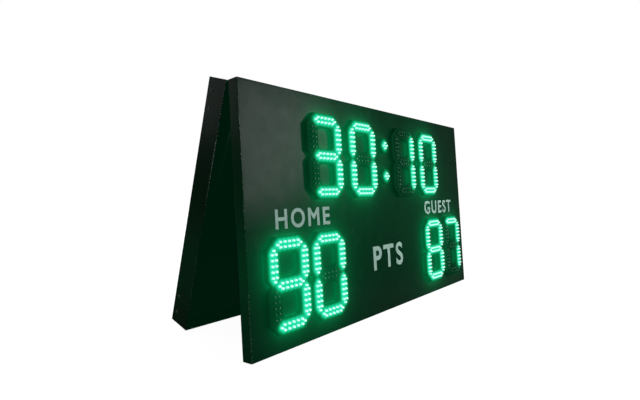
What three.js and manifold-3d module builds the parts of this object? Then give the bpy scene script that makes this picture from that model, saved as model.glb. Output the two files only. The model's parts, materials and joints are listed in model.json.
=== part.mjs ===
// Folding two-sided scoreboard: two flat steel cabinets hinged along the top, standing as an A.
// Each cabinet carries eight seven-segment figures and a colon made of small round lamps.
// Millimetres, +Z up, origin on the floor below the middle of the standing board.
import * as THREE from 'three';
import { mergeVertices } from 'three/addons/utils/BufferGeometryUtils.js';
import Module from 'manifold-3d';

const wasm = await Module();
wasm.setup();

// Stance and cabinets
const halfAngle = THREE.MathUtils.degToRad(10);
const foldGap = 4;
const boardWidth = 1100;
const boardHeight = 600;
const frontDepth = 29;
const rearDepth = 63;
const sheet = 1;
const lipWidth = 15;
const coverInset = 0.6;
const rearRecess = 20;
const seat = 0.3;
const overrun = 5;

// Figures and lamps
const segmentSpan = boardHeight * 0.1505;
const columnOffset = boardWidth * 0.04527;
const rowSpacing = 11.5;
const tipStep = 8.8;
const tipGapAcross = 12.5;
const tipGapDown = 11.35;
const lampRadius = 2.5;
const lampRise = 7;
const housingRise = 11;
const housingSideMargin = 15;
const housingEndMargin = 12;
const housingChamfer = 28;
const windowChamfer = 9;
const waistDepth = 13;
const waistHalfHeight = 13;
const clockTopGap = 48.45;
const clockMiddleGap = 45.45;
const clockFigureGap = 21.9;
const scoreBottomGap = 39.95;
const scoreEndGap = 45.95;
const scoreFigureGap = 2.4;
const colonSpread = segmentSpan * 0.51;
const colonLampOffset = 7.75;
const colonHousingHalf = 23;
const colonHousingChamfer = 13;
const bossRadius = 9;
const bossClearance = 1;
const bossLength = 4;
const strapWidth = 12;
const strapThickness = 2;
const segmentShares = [[0, 1], [0, 0], [0, -1], [-1, 0.5], [1, 0.5], [-1, -0.5], [1, -0.5]];

// Hinges
const hingeOffset = boardWidth / 4;
const hingeLength = 70;
const knuckleRadius = 3.5;
const knuckleClearance = 0.8;
const knuckleGap = 0.5;
const leafThickness = 1.5;
const leafWidth = 24;
const pinRadius = 1.5;
const pinHeadRadius = 2.6;
const pinHeadLength = 1.2;
const hingeScrewPitch = 24;
const hingeScrewInset = 14;

// Stays that stop the fold
const stayInset = 17;
const stayPivotDrop = 100;
const stayStudDrop = 260;
const stayReach = 11;
const stayWidth = 16;
const stayThickness = 2;
const stayPinRadius = 3;
const slotPlay = 1;
const slotEndPlay = 0.5;
const earThickness = 2;
const earRound = 6;
const bracketLength = 34;
const bracketWidth = 16;
const bracketSheet = 1.4;
const rivetHeadRadius = 5;
const rivetHeadHeight = 1.4;

// Screws
const coverScrewInset = 8;
const coverScrewHeadRadius = 3.6;
const coverScrewHeadHeight = 1.7;
const screwRadius = 2;
const screwClearance = 0.35;
const screwLength = 7;
const bite = 0.5;
const sideScrewDepth = 45;
const sideScrewDrops = [29, 70];
const sideScrewHeadRadius = 3.8;
const sideScrewHeadHeight = 1.4;
const evenShares = [-1, -1 / 3, 1 / 3, 1];

// Stiffeners and corner brackets
const stiffenerOffset = boardWidth / 5.5;
const stiffenerWidth = 22;
const stiffenerDepth = 9;
const cornerLeg = 76;
const cornerFootLength = 40;
const cornerWidth = 20;
const cornerSheet = 2;

// Electronics
const circuitLength = 120;
const circuitWidth = 90;
const circuitThickness = 1.6;
const standoffRadius = 3;
const standoffHeight = 5;
const standoffInset = 6;
const chipLength = 22;
const chipWidth = 12;
const chipHeight = 3;
const chipPitch = 26;
const driverRows = 3;
const controlRows = 2;
const plugLength = 40;
const plugWidth = 8;
const plugHeight = 7;
const electronicsDrop = boardHeight / 2;
const controlOffset = boardWidth / 4 + 5;
const supplyLength = 215;
const supplyWidth = 112;
const supplyHeight = 30;
const terminalLength = 20;
const terminalHeight = 16;
const sounderRadius = 12;
const sounderHeight = 9;
const antennaRadius = 2.5;
const antennaLength = 66;
const antennaBaseSize = 8;
const loomRadius = 2.5;
const loomRise = 64;

// Lead between the cabinets
const leadRadius = 3;
const leadBend = 14;
const leadDrop = 40;
const leadReach = 17;
const leadOffset = 60;
const leadTail = 8;
const grommetRadius = 9;
const grommetHoleRadius = 6;
const grommetFlange = 1.5;

// Connector dish, power inlet and rocker switch
const dishRise = 134;
const dishHalfWidth = 14;
const dishHalfHeight = 50;
const dishDepth = 22;
const dishSheet = 1.5;
const dishFlange = 4;
const inletRise = 20;
const inletHalfWidth = 9.7;
const inletHalfHeight = 13.2;
const inletBezel = 2.3;
const bezelHeight = 2;
const inletBodyDepth = 20;
const socketHalfWidth = 8;
const socketHalfHeight = 11;
const socketDepth = 15;
const bladeThickness = 2;
const bladeWidth = 4;
const bladeLength = 9;
const bladeSpread = 7;
const bladeOffset = 2.5;
const switchDrop = 25;
const switchHalfWidth = 6.2;
const switchHalfHeight = 9.3;
const switchBezel = 1.4;
const switchBodyDepth = 16;
const rockerWellHalfWidth = 5;
const rockerWellHalfHeight = 8.1;
const rockerWellDepth = 12;
const rockerHalfWidth = 4.5;
const rockerHalfHeight = 7;
const rockerCrown = 5.2;
const rockerDip = 3.6;
const rockerShoulder = 1;
const rockerKeel = 2.5;
const rockerKeelHalf = 4.5;
const rockerPivotDepth = 4.5;
const rockerTilt = THREE.MathUtils.degToRad(7);
const trunnionRadius = 1.2;
const trunnionReach = 5.7;

// Feet and bumpers
const footThickness = 2.5;
const footLength = 90;
const footInset = 190;
const footEdge = 1.5;
const footShare = 0.5;
const bumperLength = 24;
const bumperHeight = 12;
const bumperThickness = 8;
const bumperInset = 60;
const bumperRise = 1;

// Roundness
const screwSides = 6;
const smallSides = 8;
const boreSides = 10;
const bossSides = 8;
const loomSides = 5;
const leadSides = 8;
const leadSteps = 16;
const arcPullShare = 0.5523;

// Worked out from the values above
const topLevel = -(knuckleRadius + seat);
const middleLevel = topLevel - boardHeight / 2;
const bottomLevel = topLevel - boardHeight;
const innerFace = -foldGap / 2;
const halfWidth = boardWidth / 2;
const stayOffset = halfWidth - stayInset;
const rowHalf = rowSpacing / 2;
const tipAcross = columnOffset - tipGapAcross;
const tipDown = segmentSpan / 2 - tipGapDown;
const lampPitchAcross = (tipAcross - tipStep) / 2;
const lampPitchDown = (tipDown - tipStep) / 2;
const housingHalfWidth = columnOffset + rowHalf + housingSideMargin;
const housingHalfHeight = segmentSpan + rowHalf + housingEndMargin;
const clockDrop = clockTopGap + housingHalfHeight;
const scoreDrop = boardHeight - scoreBottomGap - housingHalfHeight;
const clockInner = clockMiddleGap + housingHalfWidth;
const clockOuter = clockInner + clockFigureGap + 2 * housingHalfWidth;
const scoreOuter = halfWidth - scoreEndGap - housingHalfWidth;
const scoreInner = scoreOuter - scoreFigureGap - 2 * housingHalfWidth;
const loomDrop = electronicsDrop - loomRise;
const dishDrop = boardHeight - dishRise;
const screwHole = screwRadius + screwClearance;
const figurePlaces = {
  clock_1: [-clockOuter, clockDrop],
  clock_2: [-clockInner, clockDrop],
  clock_3: [clockInner, clockDrop],
  clock_4: [clockOuter, clockDrop],
  left_1: [-scoreOuter, scoreDrop],
  left_2: [-scoreInner, scoreDrop],
  right_1: [scoreInner, scoreDrop],
  right_2: [scoreOuter, scoreDrop],
};
const colonPlaces = [[0, clockDrop - colonSpread], [0, clockDrop + colonSpread]];
const hingePlaces = { left: -hingeOffset, middle: 0, right: hingeOffset };

// Finishes
const finish = (color, roughness, metalness = 0) => (
  new THREE.MeshStandardMaterial({ color, roughness, metalness }));
const blackPaint = finish(0x1b1d1c, 0.55, 0.2);
const blackPlastic = finish(0x0e0f0f, 0.6);
const zincSteel = finish(0xa9acad, 0.4, 0.9);
const blackRubber = finish(0x151515, 0.9);
const boardGreen = finish(0x1d5a34, 0.6);
const bareAluminium = finish(0xb8babb, 0.45, 0.9);
const leadBlack = finish(0x171717, 0.7);

// Shapes
function weld(geometry) {
  const bare = geometry.clone();
  bare.deleteAttribute('normal');
  bare.deleteAttribute('uv');
  const merged = mergeVertices(bare);
  const kept = [];
  const corners = merged.index.array;
  for (let i = 0; i < corners.length; i += 3) {
    const [a, b, c] = [corners[i], corners[i + 1], corners[i + 2]];
    if (a !== b && b !== c && c !== a) kept.push(a, b, c);
  }
  merged.setIndex(kept);
  return merged;
}

function toSolid(geometry) {
  const welded = weld(geometry);
  const vertProperties = welded.attributes.position.array;
  const triVerts = Uint32Array.from(welded.index.array);
  return new wasm.Manifold(new wasm.Mesh({ numProp: 3, vertProperties, triVerts }));
}

function toGeometry(solid) {
  const mesh = solid.getMesh();
  const geometry = new THREE.BufferGeometry();
  geometry.setAttribute('position', new THREE.BufferAttribute(mesh.vertProperties, 3));
  geometry.setIndex(new THREE.BufferAttribute(mesh.triVerts, 1));
  return geometry;
}

function shaped(added, removed = []) {
  let whole = toSolid(added[0]);
  for (const more of added.slice(1)) whole = whole.add(toSolid(more));
  for (const less of removed) whole = whole.subtract(toSolid(less));
  return toGeometry(whole);
}

function block(x0, x1, y0, y1, z0, z1) {
  const geometry = new THREE.BoxGeometry(Math.abs(x1 - x0), Math.abs(y1 - y0), Math.abs(z1 - z0));
  return geometry.translate((x0 + x1) / 2, (y0 + y1) / 2, (z0 + z1) / 2);
}

function rodX(radius, x0, x1, y, z, sides = boreSides) {
  const rod = new THREE.CylinderGeometry(radius, radius, Math.abs(x1 - x0), sides);
  return rod.rotateZ(-Math.PI / 2).translate((x0 + x1) / 2, y, z);
}

function rodY(radius, y0, y1, x, z, sides = boreSides) {
  const rod = new THREE.CylinderGeometry(radius, radius, Math.abs(y1 - y0), sides);
  return rod.translate(x, (y0 + y1) / 2, z);
}

function rodZ(radius, z0, z1, x, y, sides = boreSides) {
  const rod = new THREE.CylinderGeometry(radius, radius, Math.abs(z1 - z0), sides);
  return rod.rotateX(Math.PI / 2).translate(x, y, (z0 + z1) / 2);
}

function polygon(points) {
  return points.map(([u, v]) => new THREE.Vector2(u, v));
}

// A flat outline in X and Z, made solid outward from backY.
function plateY(outline, holes, backY, thickness) {
  const shape = new THREE.Shape(outline);
  shape.holes = holes.map((hole) => new THREE.Path(hole));
  const geometry = new THREE.ExtrudeGeometry(shape, { depth: thickness, bevelEnabled: false });
  return geometry.rotateX(Math.PI / 2).translate(0, backY, 0);
}

// A flat outline in Y and Z, made solid from x0 to x1.
function plateX(outline, holes, x0, x1) {
  const shape = new THREE.Shape(outline);
  shape.holes = holes.map((hole) => new THREE.Path(hole));
  const geometry = new THREE.ExtrudeGeometry(shape, { depth: x1 - x0, bevelEnabled: false });
  const turn = new THREE.Matrix4().makeBasis(
    new THREE.Vector3(0, 1, 0), new THREE.Vector3(0, 0, 1), new THREE.Vector3(1, 0, 0));
  return geometry.applyMatrix4(turn).translate(x0, 0, 0);
}

function moved(points, x, z) {
  return points.map((p) => new THREE.Vector2(p.x + x, p.y + z));
}

function octagon(halfX, halfZ, chamfer) {
  return polygon([
    [halfX, -halfZ + chamfer], [halfX, halfZ - chamfer],
    [halfX - chamfer, halfZ], [-halfX + chamfer, halfZ],
    [-halfX, halfZ - chamfer], [-halfX, -halfZ + chamfer],
    [-halfX + chamfer, -halfZ], [halfX - chamfer, -halfZ],
  ]);
}

// A straight-sided strip with round ends, running down from z0 to z1.
function strip(half, z0, z1, sides) {
  const points = [];
  for (let i = 0; i <= sides; i += 1) {
    const turn = Math.PI * i / sides;
    points.push([half * Math.cos(turn), z0 + half * Math.sin(turn)]);
  }
  for (let i = 0; i <= sides; i += 1) {
    const turn = Math.PI * (1 + i / sides);
    points.push([half * Math.cos(turn), z1 + half * Math.sin(turn)]);
  }
  return polygon(points);
}

function circle(radius, u, v, sides) {
  const points = [];
  for (let i = 0; i < sides; i += 1) {
    const turn = 2 * Math.PI * i / sides;
    points.push([u + radius * Math.cos(turn), v + radius * Math.sin(turn)]);
  }
  return polygon(points);
}

// A turned piece whose axis is Y: the profile runs [radius, y] and closes on itself or on the axis.
function turned(profile, sides) {
  return new THREE.LatheGeometry(polygon(profile), sides);
}

// A pan-head screw along +Y through a surface at y = 0; its head ends at the given level.
function screw(headRadius, headHeight, under) {
  const top = under - headHeight;
  return turned([
    [0, top], [headRadius, top], [headRadius, under],
    [screwRadius, under], [screwRadius, screwLength], [0, screwLength],
  ], screwSides);
}

function named(name, geometry, material, parent) {
  const mesh = new THREE.Mesh(geometry, material);
  mesh.name = name;
  parent.add(mesh);
  return mesh;
}

// Housing of one figure: an eight with cut corners, a pinched waist and two windows.
function eightOutline() {
  const [w, h, c] = [housingHalfWidth, housingHalfHeight, housingChamfer];
  const waist = w - waistDepth;
  return polygon([
    [w, -h + c], [w, -waistHalfHeight], [waist, 0], [w, waistHalfHeight], [w, h - c],
    [w - c, h], [-w + c, h], [-w, h - c], [-w, waistHalfHeight], [-waist, 0],
    [-w, -waistHalfHeight], [-w, -h + c], [-w + c, -h], [w - c, -h],
  ]);
}

function eightWindows() {
  const halfX = columnOffset - rowHalf - housingSideMargin;
  const halfZ = segmentSpan / 2 - rowHalf - housingEndMargin;
  const window = octagon(halfX, halfZ, windowChamfer).reverse();
  return [moved(window, 0, segmentSpan / 2), moved(window, 0, -segmentSpan / 2)];
}

function wireBoss(x, z, outerFace) {
  return rodY(bossRadius, outerFace - seat - sheet, outerFace + sheet + bossLength, x, z, bossSides);
}

function figureModule(x, z, outerFace) {
  const plate = plateY(eightOutline(), eightWindows(), outerFace - seat, housingRise - seat);
  const bars = segmentShares.map(([across, up]) => {
    const bar = plateY(lampBar(across !== 0), [], outerFace - housingRise + bite, lampRise + bite);
    return bar.translate(across * columnOffset, 0, up * segmentSpan);
  });
  const parts = [plate, ...bars].map((part) => part.translate(x, 0, z));
  return shaped([...parts, wireBoss(x, z, outerFace)]);
}

// The two small housings of the colon share a strap behind the sheet.
function colonModule(outerFace) {
  const outline = octagon(colonHousingHalf, colonHousingHalf, colonHousingChamfer);
  const reach = colonLampOffset + lampRadius * Math.SQRT2;
  const diamond = polygon([[reach, 0], [0, reach], [-reach, 0], [0, -reach]]);
  const strapBack = outerFace + sheet + bossLength;
  const level = topLevel - clockDrop;
  const parts = [block(-strapWidth / 2, strapWidth / 2, strapBack - strapThickness, strapBack,
    level - colonSpread, level + colonSpread)];
  for (const [x, drop] of colonPlaces) {
    const z = topLevel - drop;
    parts.push(plateY(outline, [], outerFace - seat, housingRise - seat).translate(x, 0, z));
    parts.push(plateY(diamond, [], outerFace - housingRise + bite, lampRise + bite).translate(x, 0, z));
    parts.push(wireBoss(x, z, outerFace));
  }
  return shaped(parts);
}

// Each bar is the outline of twelve lamps: two rows of five and one at each tip.
function lampBar(upright) {
  const pitch = upright ? lampPitchDown : lampPitchAcross;
  const tip = (upright ? tipDown : tipAcross) + lampRadius * Math.SQRT2;
  const flat = 2 * pitch + lampRadius;
  const half = rowHalf + lampRadius;
  const lying = [[tip, 0], [flat, half], [-flat, half], [-tip, 0], [-flat, -half], [flat, -half]];
  return polygon(upright ? lying.map(([u, v]) => [-v, u]) : lying);
}

function bossPlaces() {
  return [...Object.values(figurePlaces), ...colonPlaces];
}

// Where the screws of hinges, ends and covers go through the sheet.
function hingeScrewPlaces(x) {
  return [x - hingeScrewPitch, x, x + hingeScrewPitch];
}

function hingeScrewHoles() {
  return Object.values(hingePlaces).flatMap(hingeScrewPlaces).map((x) => rodZ(
    screwHole, topLevel - screwLength - overrun, topLevel + overrun, x, -hingeScrewInset, screwSides));
}

function sideScrewLevels() {
  return sideScrewDrops.flatMap((drop) => [topLevel - drop, bottomLevel + drop]);
}

function frontCoverScrewPlaces() {
  const places = [];
  const [edgeX, edgeZ] = [halfWidth - coverScrewInset, boardHeight / 2 - coverScrewInset];
  for (const up of [-1, 1]) {
    for (const across of evenShares) places.push([across * edgeX, middleLevel + up * edgeZ]);
  }
  for (const across of [-1, 1]) places.push([across * edgeX, middleLevel]);
  return places;
}

function rearCoverScrewPlaces() {
  const levels = evenShares.map((up) => (
    middleLevel + up * (boardHeight / 2 - lipWidth - coverScrewInset)));
  return [-stiffenerOffset, stiffenerOffset].flatMap((x) => levels.map((z) => [x, z]));
}

function holesY(places, radius, y0, y1) {
  return places.map(([x, z]) => rodY(radius, y0, y1, x, z, screwSides));
}

// Folded sheet tray with the face outside; the lip runs round its open back.
function tray(openFace, outerFace, lip, extraHoles, bars = [], barHoles = []) {
  const [cavityX, cavityTop, cavityBottom] = [halfWidth - sheet, topLevel - sheet, bottomLevel + sheet];
  const shell = block(-halfWidth, halfWidth, outerFace, openFace, bottomLevel, topLevel);
  const cavityOpen = lip > 0 ? openFace - sheet : openFace + overrun;
  const cavity = block(-cavityX, cavityX, outerFace + sheet, cavityOpen, cavityBottom, cavityTop);
  const mouth = block(-cavityX + lip, cavityX - lip, outerFace + sheet, openFace + overrun,
    cavityBottom + lip, cavityTop - lip);
  const bossHoles = bossPlaces().map(([x, drop]) => rodY(bossRadius + bossClearance,
    outerFace - overrun, outerFace + sheet + overrun, x, topLevel - drop, bossSides));
  const folded = shaped([shell], [cavity, mouth, ...bossHoles, ...hingeScrewHoles(), ...extraHoles]);
  return bars.length > 0 ? shaped([folded, ...bars], barHoles) : folded;
}

// U-shaped upright bars, welded to the top and bottom of the tray behind its cover.
function stiffeners(webFace) {
  const half = stiffenerWidth / 2;
  const profile = polygon([
    [-half, 0], [-half, -stiffenerDepth], [-half + sheet, -stiffenerDepth], [-half + sheet, -sheet],
    [half - sheet, -sheet], [half - sheet, -stiffenerDepth], [half, -stiffenerDepth], [half, 0],
  ]);
  const depth = boardHeight - 2 * sheet + 2 * bite;
  const bar = new THREE.ExtrudeGeometry(new THREE.Shape(profile), { depth, bevelEnabled: false });
  return [-stiffenerOffset, stiffenerOffset].map((x) => (
    bar.clone().translate(x, webFace, bottomLevel + sheet - bite)));
}

// A hinge leaf lies on the top of its cabinet, holds its screws and ends in knuckles round the pin.
function hingeLeaf(x, knuckleTurns, withPin) {
  const pitch = hingeLength / 5;
  const under = -knuckleRadius;
  const near = -(knuckleRadius + knuckleClearance);
  const end = hingeLength / 2;
  const parts = [block(x - end, x + end, -leafWidth, near, under, under + leafThickness)];
  for (const turn of knuckleTurns) {
    const from = x + turn * pitch - pitch / 2 + knuckleGap / 2;
    const to = x + turn * pitch + pitch / 2 - knuckleGap / 2;
    parts.push(block(from, to, near - leafThickness, 0, under, under + leafThickness));
    parts.push(rodX(knuckleRadius, from, to, 0, 0));
  }
  for (const screwX of hingeScrewPlaces(x)) {
    parts.push(screw(coverScrewHeadRadius, coverScrewHeadHeight, bite)
      .rotateX(-Math.PI / 2).translate(screwX, -hingeScrewInset, under + leafThickness));
  }
  if (!withPin) return shaped(parts, [rodX(pinRadius + seat, x - end, x + end, 0, 0)]);
  parts.push(rodX(pinRadius, x - end, x + end, 0, 0));
  for (const side of [-1, 1]) {
    parts.push(rodX(pinHeadRadius, x + side * (end - knuckleGap), x + side * (end + pinHeadLength), 0, 0));
  }
  return shaped(parts);
}

// Loom: one run along the board, a branch to every figure, one to the driver board and one to the lead.
function loom(outerFace, boardFace, leadZ, leadEnd, more = []) {
  const y = outerFace + sheet + bossLength + seat + loomRadius;
  const level = topLevel - loomDrop;
  const driverX = controlOffset - circuitLength / 4;
  const parts = [rodX(loomRadius, -scoreOuter - loomRadius, scoreOuter + loomRadius, y, level, loomSides)];
  for (const [x, drop] of bossPlaces()) {
    parts.push(rodZ(loomRadius, topLevel - drop, level, x, y, loomSides));
  }
  const plugTip = boardFace - seat - standoffHeight - circuitThickness - plugHeight;
  parts.push(rodZ(loomRadius, topLevel - electronicsDrop, level, driverX, y, loomSides));
  parts.push(rodY(loomRadius, y, plugTip - seat, driverX, topLevel - electronicsDrop, loomSides));
  const tail = leadEnd - seat - loomRadius;
  parts.push(rodZ(loomRadius, level, leadZ + leadRadius, -leadOffset, tail, loomSides));
  parts.push(rodY(loomRadius, y, tail + loomRadius, -leadOffset, level, loomSides));
  return shaped([...parts, ...more]);
}

// Populated circuit board on four standoffs, components outward.
function circuitBoard(x, drop, boardFace, chipRows, more = []) {
  const [halfL, halfB] = [circuitLength / 2, circuitWidth / 2];
  const z = topLevel - drop;
  const near = boardFace - seat;
  const under = near - standoffHeight;
  const over = under - circuitThickness;
  const parts = [block(x - halfL, x + halfL, over, under, z - halfB, z + halfB)];
  for (const across of [-1, 1]) {
    for (const up of [-1, 1]) {
      parts.push(rodY(standoffRadius, over, near,
        x + across * (halfL - standoffInset), z + up * (halfB - standoffInset), smallSides));
    }
  }
  for (let row = 0; row < chipRows; row += 1) {
    const level = z + halfB - chipWidth - row * chipPitch;
    parts.push(block(x, x + chipLength, over - chipHeight, over,
      level - chipWidth / 2, level + chipWidth / 2));
  }
  parts.push(block(x - halfL / 2 - plugWidth / 2, x - halfL / 2 + plugWidth / 2,
    over - plugHeight, over, z - plugLength / 2, z + plugLength / 2));
  return shaped([...parts, ...more]);
}

function powerSupply(boardFace) {
  const near = boardFace - seat;
  const z = topLevel - electronicsDrop;
  const [halfL, halfB] = [supplyLength / 2, supplyWidth / 2];
  const casing = block(-halfL + terminalLength, halfL, near - supplyHeight, near, z - halfB, z + halfB);
  const terminals = block(-halfL, -halfL + terminalLength + overrun, near - terminalHeight, near,
    z - halfB, z + halfB);
  return shaped([casing, terminals]);
}

// Half of the lead that joins the cabinets: along X from the middle, then round a bend and into the cabinet.
function leadHalf(runY, runZ, faceY) {
  const at = (x, y) => new THREE.Vector3(-x, y, runZ);
  const bendStart = leadOffset - leadBend;
  const pull = leadBend * arcPullShare;
  const route = new THREE.CurvePath();
  route.add(new THREE.LineCurve3(at(seat / 2, runY), at(bendStart, runY)));
  route.add(new THREE.CubicBezierCurve3(at(bendStart, runY), at(bendStart + pull, runY),
    at(leadOffset, runY - leadBend + pull), at(leadOffset, runY - leadBend)));
  route.add(new THREE.LineCurve3(at(leadOffset, runY - leadBend), at(leadOffset, faceY - leadTail)));
  const section = new THREE.Shape(circle(leadRadius, 0, 0, leadSides));
  return new THREE.ExtrudeGeometry(section, { steps: leadSteps, extrudePath: route, bevelEnabled: false });
}

// Rubber ring that lines the hole of the lead, with a groove for the sheet.
function grommet(x, z, sheetOuter, sheetInner) {
  const [bore, neck] = [leadRadius + seat, grommetHoleRadius - seat];
  const profile = [
    [bore, sheetInner - seat - grommetFlange], [grommetRadius, sheetInner - seat - grommetFlange],
    [grommetRadius, sheetInner - seat], [neck, sheetInner - seat],
    [neck, sheetOuter + seat], [grommetRadius, sheetOuter + seat],
    [grommetRadius, sheetOuter + seat + grommetFlange], [bore, sheetOuter + seat + grommetFlange],
    [bore, sheetInner - seat - grommetFlange],
  ];
  return turned(profile, boreSides).translate(x, 0, z);
}

// Wedge foot under the lower edge, flat on the floor while the board stands open.
function foot(side, depth) {
  const upper = bottomLevel - seat;
  const near = innerFace - footEdge;
  const far = near - depth * footShare;
  const floorAt = (y) => upper - footThickness + (y - near) * Math.tan(halfAngle);
  const outline = polygon([[far, upper], [far, floorAt(far)], [near, floorAt(near)], [near, upper]]);
  const outer = side * (halfWidth - footInset);
  const inner = outer - side * footLength;
  return plateX(outline, [], Math.min(outer, inner), Math.max(outer, inner));
}

// Turned about the X axis at a stay: offsets count towards the middle of the board.
function acrossStay(x, y, z, profile) {
  return turned(profile, smallSides).rotateZ(Math.sign(x) * Math.PI / 2).translate(x, y, z);
}

// Ear bracket on the back of the front cabinet, with the riveted pin that a stay turns on.
function stayBracket(x) {
  const inward = -Math.sign(x);
  const armHalf = stayThickness / 2 + seat;
  const earNear = x + inward * armHalf;
  const earFar = earNear + inward * earThickness;
  const base = innerFace + seat;
  const [low, high] = [stayPivot.y - bracketLength / 2, stayPivot.y + bracketLength / 2];
  const seatPlate = block(earNear, earNear + inward * bracketWidth, base, base + bracketSheet, low, high);
  const ear = plateX(polygon([
    [base, low], [stayPivot.x, stayPivot.y - earRound], [stayPivot.x + earRound, stayPivot.y],
    [stayPivot.x, stayPivot.y + earRound], [base, high],
  ]), [], Math.min(earNear, earFar), Math.max(earNear, earFar));
  const riveted = armHalf + earThickness;
  const pin = acrossStay(x, stayPivot.x, stayPivot.y, [
    [0, -armHalf - rivetHeadHeight], [rivetHeadRadius, -armHalf - rivetHeadHeight],
    [rivetHeadRadius, -armHalf], [stayPinRadius, -armHalf],
    [stayPinRadius, riveted - bite], [rivetHeadRadius, riveted - bite],
    [rivetHeadRadius, riveted + rivetHeadHeight], [0, riveted + rivetHeadHeight],
  ]);
  return shaped([seatPlate, ear, pin]);
}

// Shouldered stud welded to the side flange of the rear cover; it slides in a stay's slot.
function slotStud(x) {
  const root = Math.abs(x) - (panX - sheet) - bite;
  const armHalf = stayThickness / 2 + seat;
  return acrossStay(x, -stayReach, -stayStudDrop, [
    [0, root], [rivetHeadRadius, root], [rivetHeadRadius, -armHalf], [stayPinRadius, -armHalf],
    [stayPinRadius, armHalf], [rivetHeadRadius, armHalf], [rivetHeadRadius, armHalf + rivetHeadHeight],
    [0, armHalf + rivetHeadHeight],
  ]);
}

// Where the rear stud lies seen from the front cabinet, with the boards opened by an angle.
function studFromFront(opened) {
  return new THREE.Vector2(
    stayReach * Math.cos(opened) + stayStudDrop * Math.sin(opened),
    stayReach * Math.sin(opened) - stayStudDrop * Math.cos(opened));
}

const stayPivot = new THREE.Vector2(stayReach, -stayPivotDrop);
const stayOpen = studFromFront(2 * halfAngle).sub(stayPivot);
const stayShut = studFromFront(0).sub(stayPivot);
const stayAngle = Math.atan2(stayOpen.x, -stayOpen.y);

function stayArm() {
  const half = stayWidth / 2;
  const slotTop = -Math.min(stayOpen.length(), stayShut.length()) + slotEndPlay;
  const slotEnd = -Math.max(stayOpen.length(), stayShut.length()) - slotEndPlay;
  const outline = strip(half, 0, slotEnd, boreSides / 2);
  const bore = circle(stayPinRadius + seat, 0, 0, smallSides).reverse();
  const slot = strip(stayPinRadius + slotPlay, slotTop, slotEnd, boreSides / 2).reverse();
  return plateX(outline, [bore, slot], -stayThickness / 2, stayThickness / 2);
}

// Everything that the two cabinets have alike.
function furnish(cabinet, side, outerFace, depth, boardFace) {
  for (const [place, [x, drop]] of Object.entries(figurePlaces)) {
    named(`${side}_figure_${place}`, figureModule(x, topLevel - drop, outerFace), blackPlastic, cabinet);
  }
  named(`${side}_colon`, colonModule(outerFace), blackPlastic, cabinet);
  named(`${side}_driver_board`, circuitBoard(controlOffset, electronicsDrop, boardFace, driverRows),
    boardGreen, cabinet);
  named(`${side}_foot_left`, foot(-1, depth), blackRubber, cabinet);
  named(`${side}_foot_right`, foot(1, depth), blackRubber, cabinet);
}

// Front cabinet
const scoreboard = new THREE.Group();
const front = new THREE.Group();
front.rotation.x = -halfAngle;
scoreboard.add(front);

const frontOuter = innerFace - frontDepth;
const frontOpen = innerFace - sheet - seat;
const frontScrews = frontCoverScrewPlaces();
const frontScrewHoles = holesY(frontScrews, screwHole, frontOpen - sheet - overrun / 2, innerFace + overrun);
named('front_tray', tray(frontOpen, frontOuter, lipWidth, frontScrewHoles), blackPaint, front);

const leadFrontZ = -leadDrop;
const frontLeadHole = rodY(grommetHoleRadius, innerFace - overrun, innerFace + overrun,
  -leadOffset, leadFrontZ);
const coverPlate = block(-halfWidth + coverInset, halfWidth - coverInset, innerFace - sheet, innerFace,
  bottomLevel + coverInset, topLevel - coverInset);
const coverScrews = (places, face) => places.map(([x, z]) => (
  screw(coverScrewHeadRadius, coverScrewHeadHeight, bite).rotateX(Math.PI).translate(x, face, z)));
named('front_cover', shaped([shaped([coverPlate], [frontLeadHole]), ...coverScrews(frontScrews, innerFace)]),
  blackPaint, front);
furnish(front, 'front', frontOuter, frontDepth, innerFace - sheet);
named('front_loom', loom(frontOuter, innerFace - sheet, leadFrontZ, innerFace - leadTail), leadBlack, front);
for (const [place, x] of Object.entries(hingePlaces)) {
  named(`hinge_front_leaf_${place}`, hingeLeaf(x, [-2, 0, 2], true), zincSteel, front);
}
for (const [place, side] of Object.entries({ left: -1, right: 1 })) {
  const x = side * (halfWidth - bumperInset);
  const bumper = block(x - bumperLength / 2, x + bumperLength / 2, innerFace + seat,
    innerFace + bumperThickness, bottomLevel + bumperRise, bottomLevel + bumperRise + bumperHeight);
  named(`bumper_${place}`, bumper, blackRubber, front);
  const stayX = side * stayOffset;
  named(`stay_bracket_${place}`, stayBracket(stayX), blackPaint, front);
  const arm = named(`stay_arm_${place}`, stayArm(), blackPaint, front);
  arm.position.set(stayX, stayPivot.x, stayPivot.y);
  arm.rotation.x = stayAngle;
}
named('front_grommet', grommet(-leadOffset, leadFrontZ, innerFace, innerFace - sheet), blackRubber, front);
named('link_lead_front', leadHalf(leadReach, leadFrontZ, innerFace), leadBlack, front);

// Rear cabinet, turned to face the other way
const back = new THREE.Group();
back.rotation.z = Math.PI;
scoreboard.add(back);
const rear = new THREE.Group();
rear.rotation.x = -halfAngle;
back.add(rear);

const rearOuter = innerFace - rearDepth;
const panOuter = innerFace - rearRecess;
const panInner = panOuter - sheet;
const sideScrewY = innerFace - sideScrewDepth;
const sideScrewHoles = sideScrewLevels().map((z) => rodX(
  screwHole, -halfWidth - overrun, halfWidth + overrun, sideScrewY, z, screwSides));
const dishY = (panInner + rearOuter + sheet) / 2;
const dishZ = topLevel - dishDrop;
const dishHole = block(-halfWidth - overrun, -halfWidth + sheet + overrun,
  dishY - dishHalfWidth, dishY + dishHalfWidth, dishZ - dishHalfHeight, dishZ + dishHalfHeight);
const rearScrews = rearCoverScrewPlaces();
const rearScrewHoles = holesY(rearScrews, screwHole, panInner - stiffenerDepth, panInner + overrun);
named('rear_tray', tray(innerFace, rearOuter, 0, [...sideScrewHoles, dishHole], stiffeners(panInner - seat),
  rearScrewHoles), blackPaint, rear);

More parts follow.
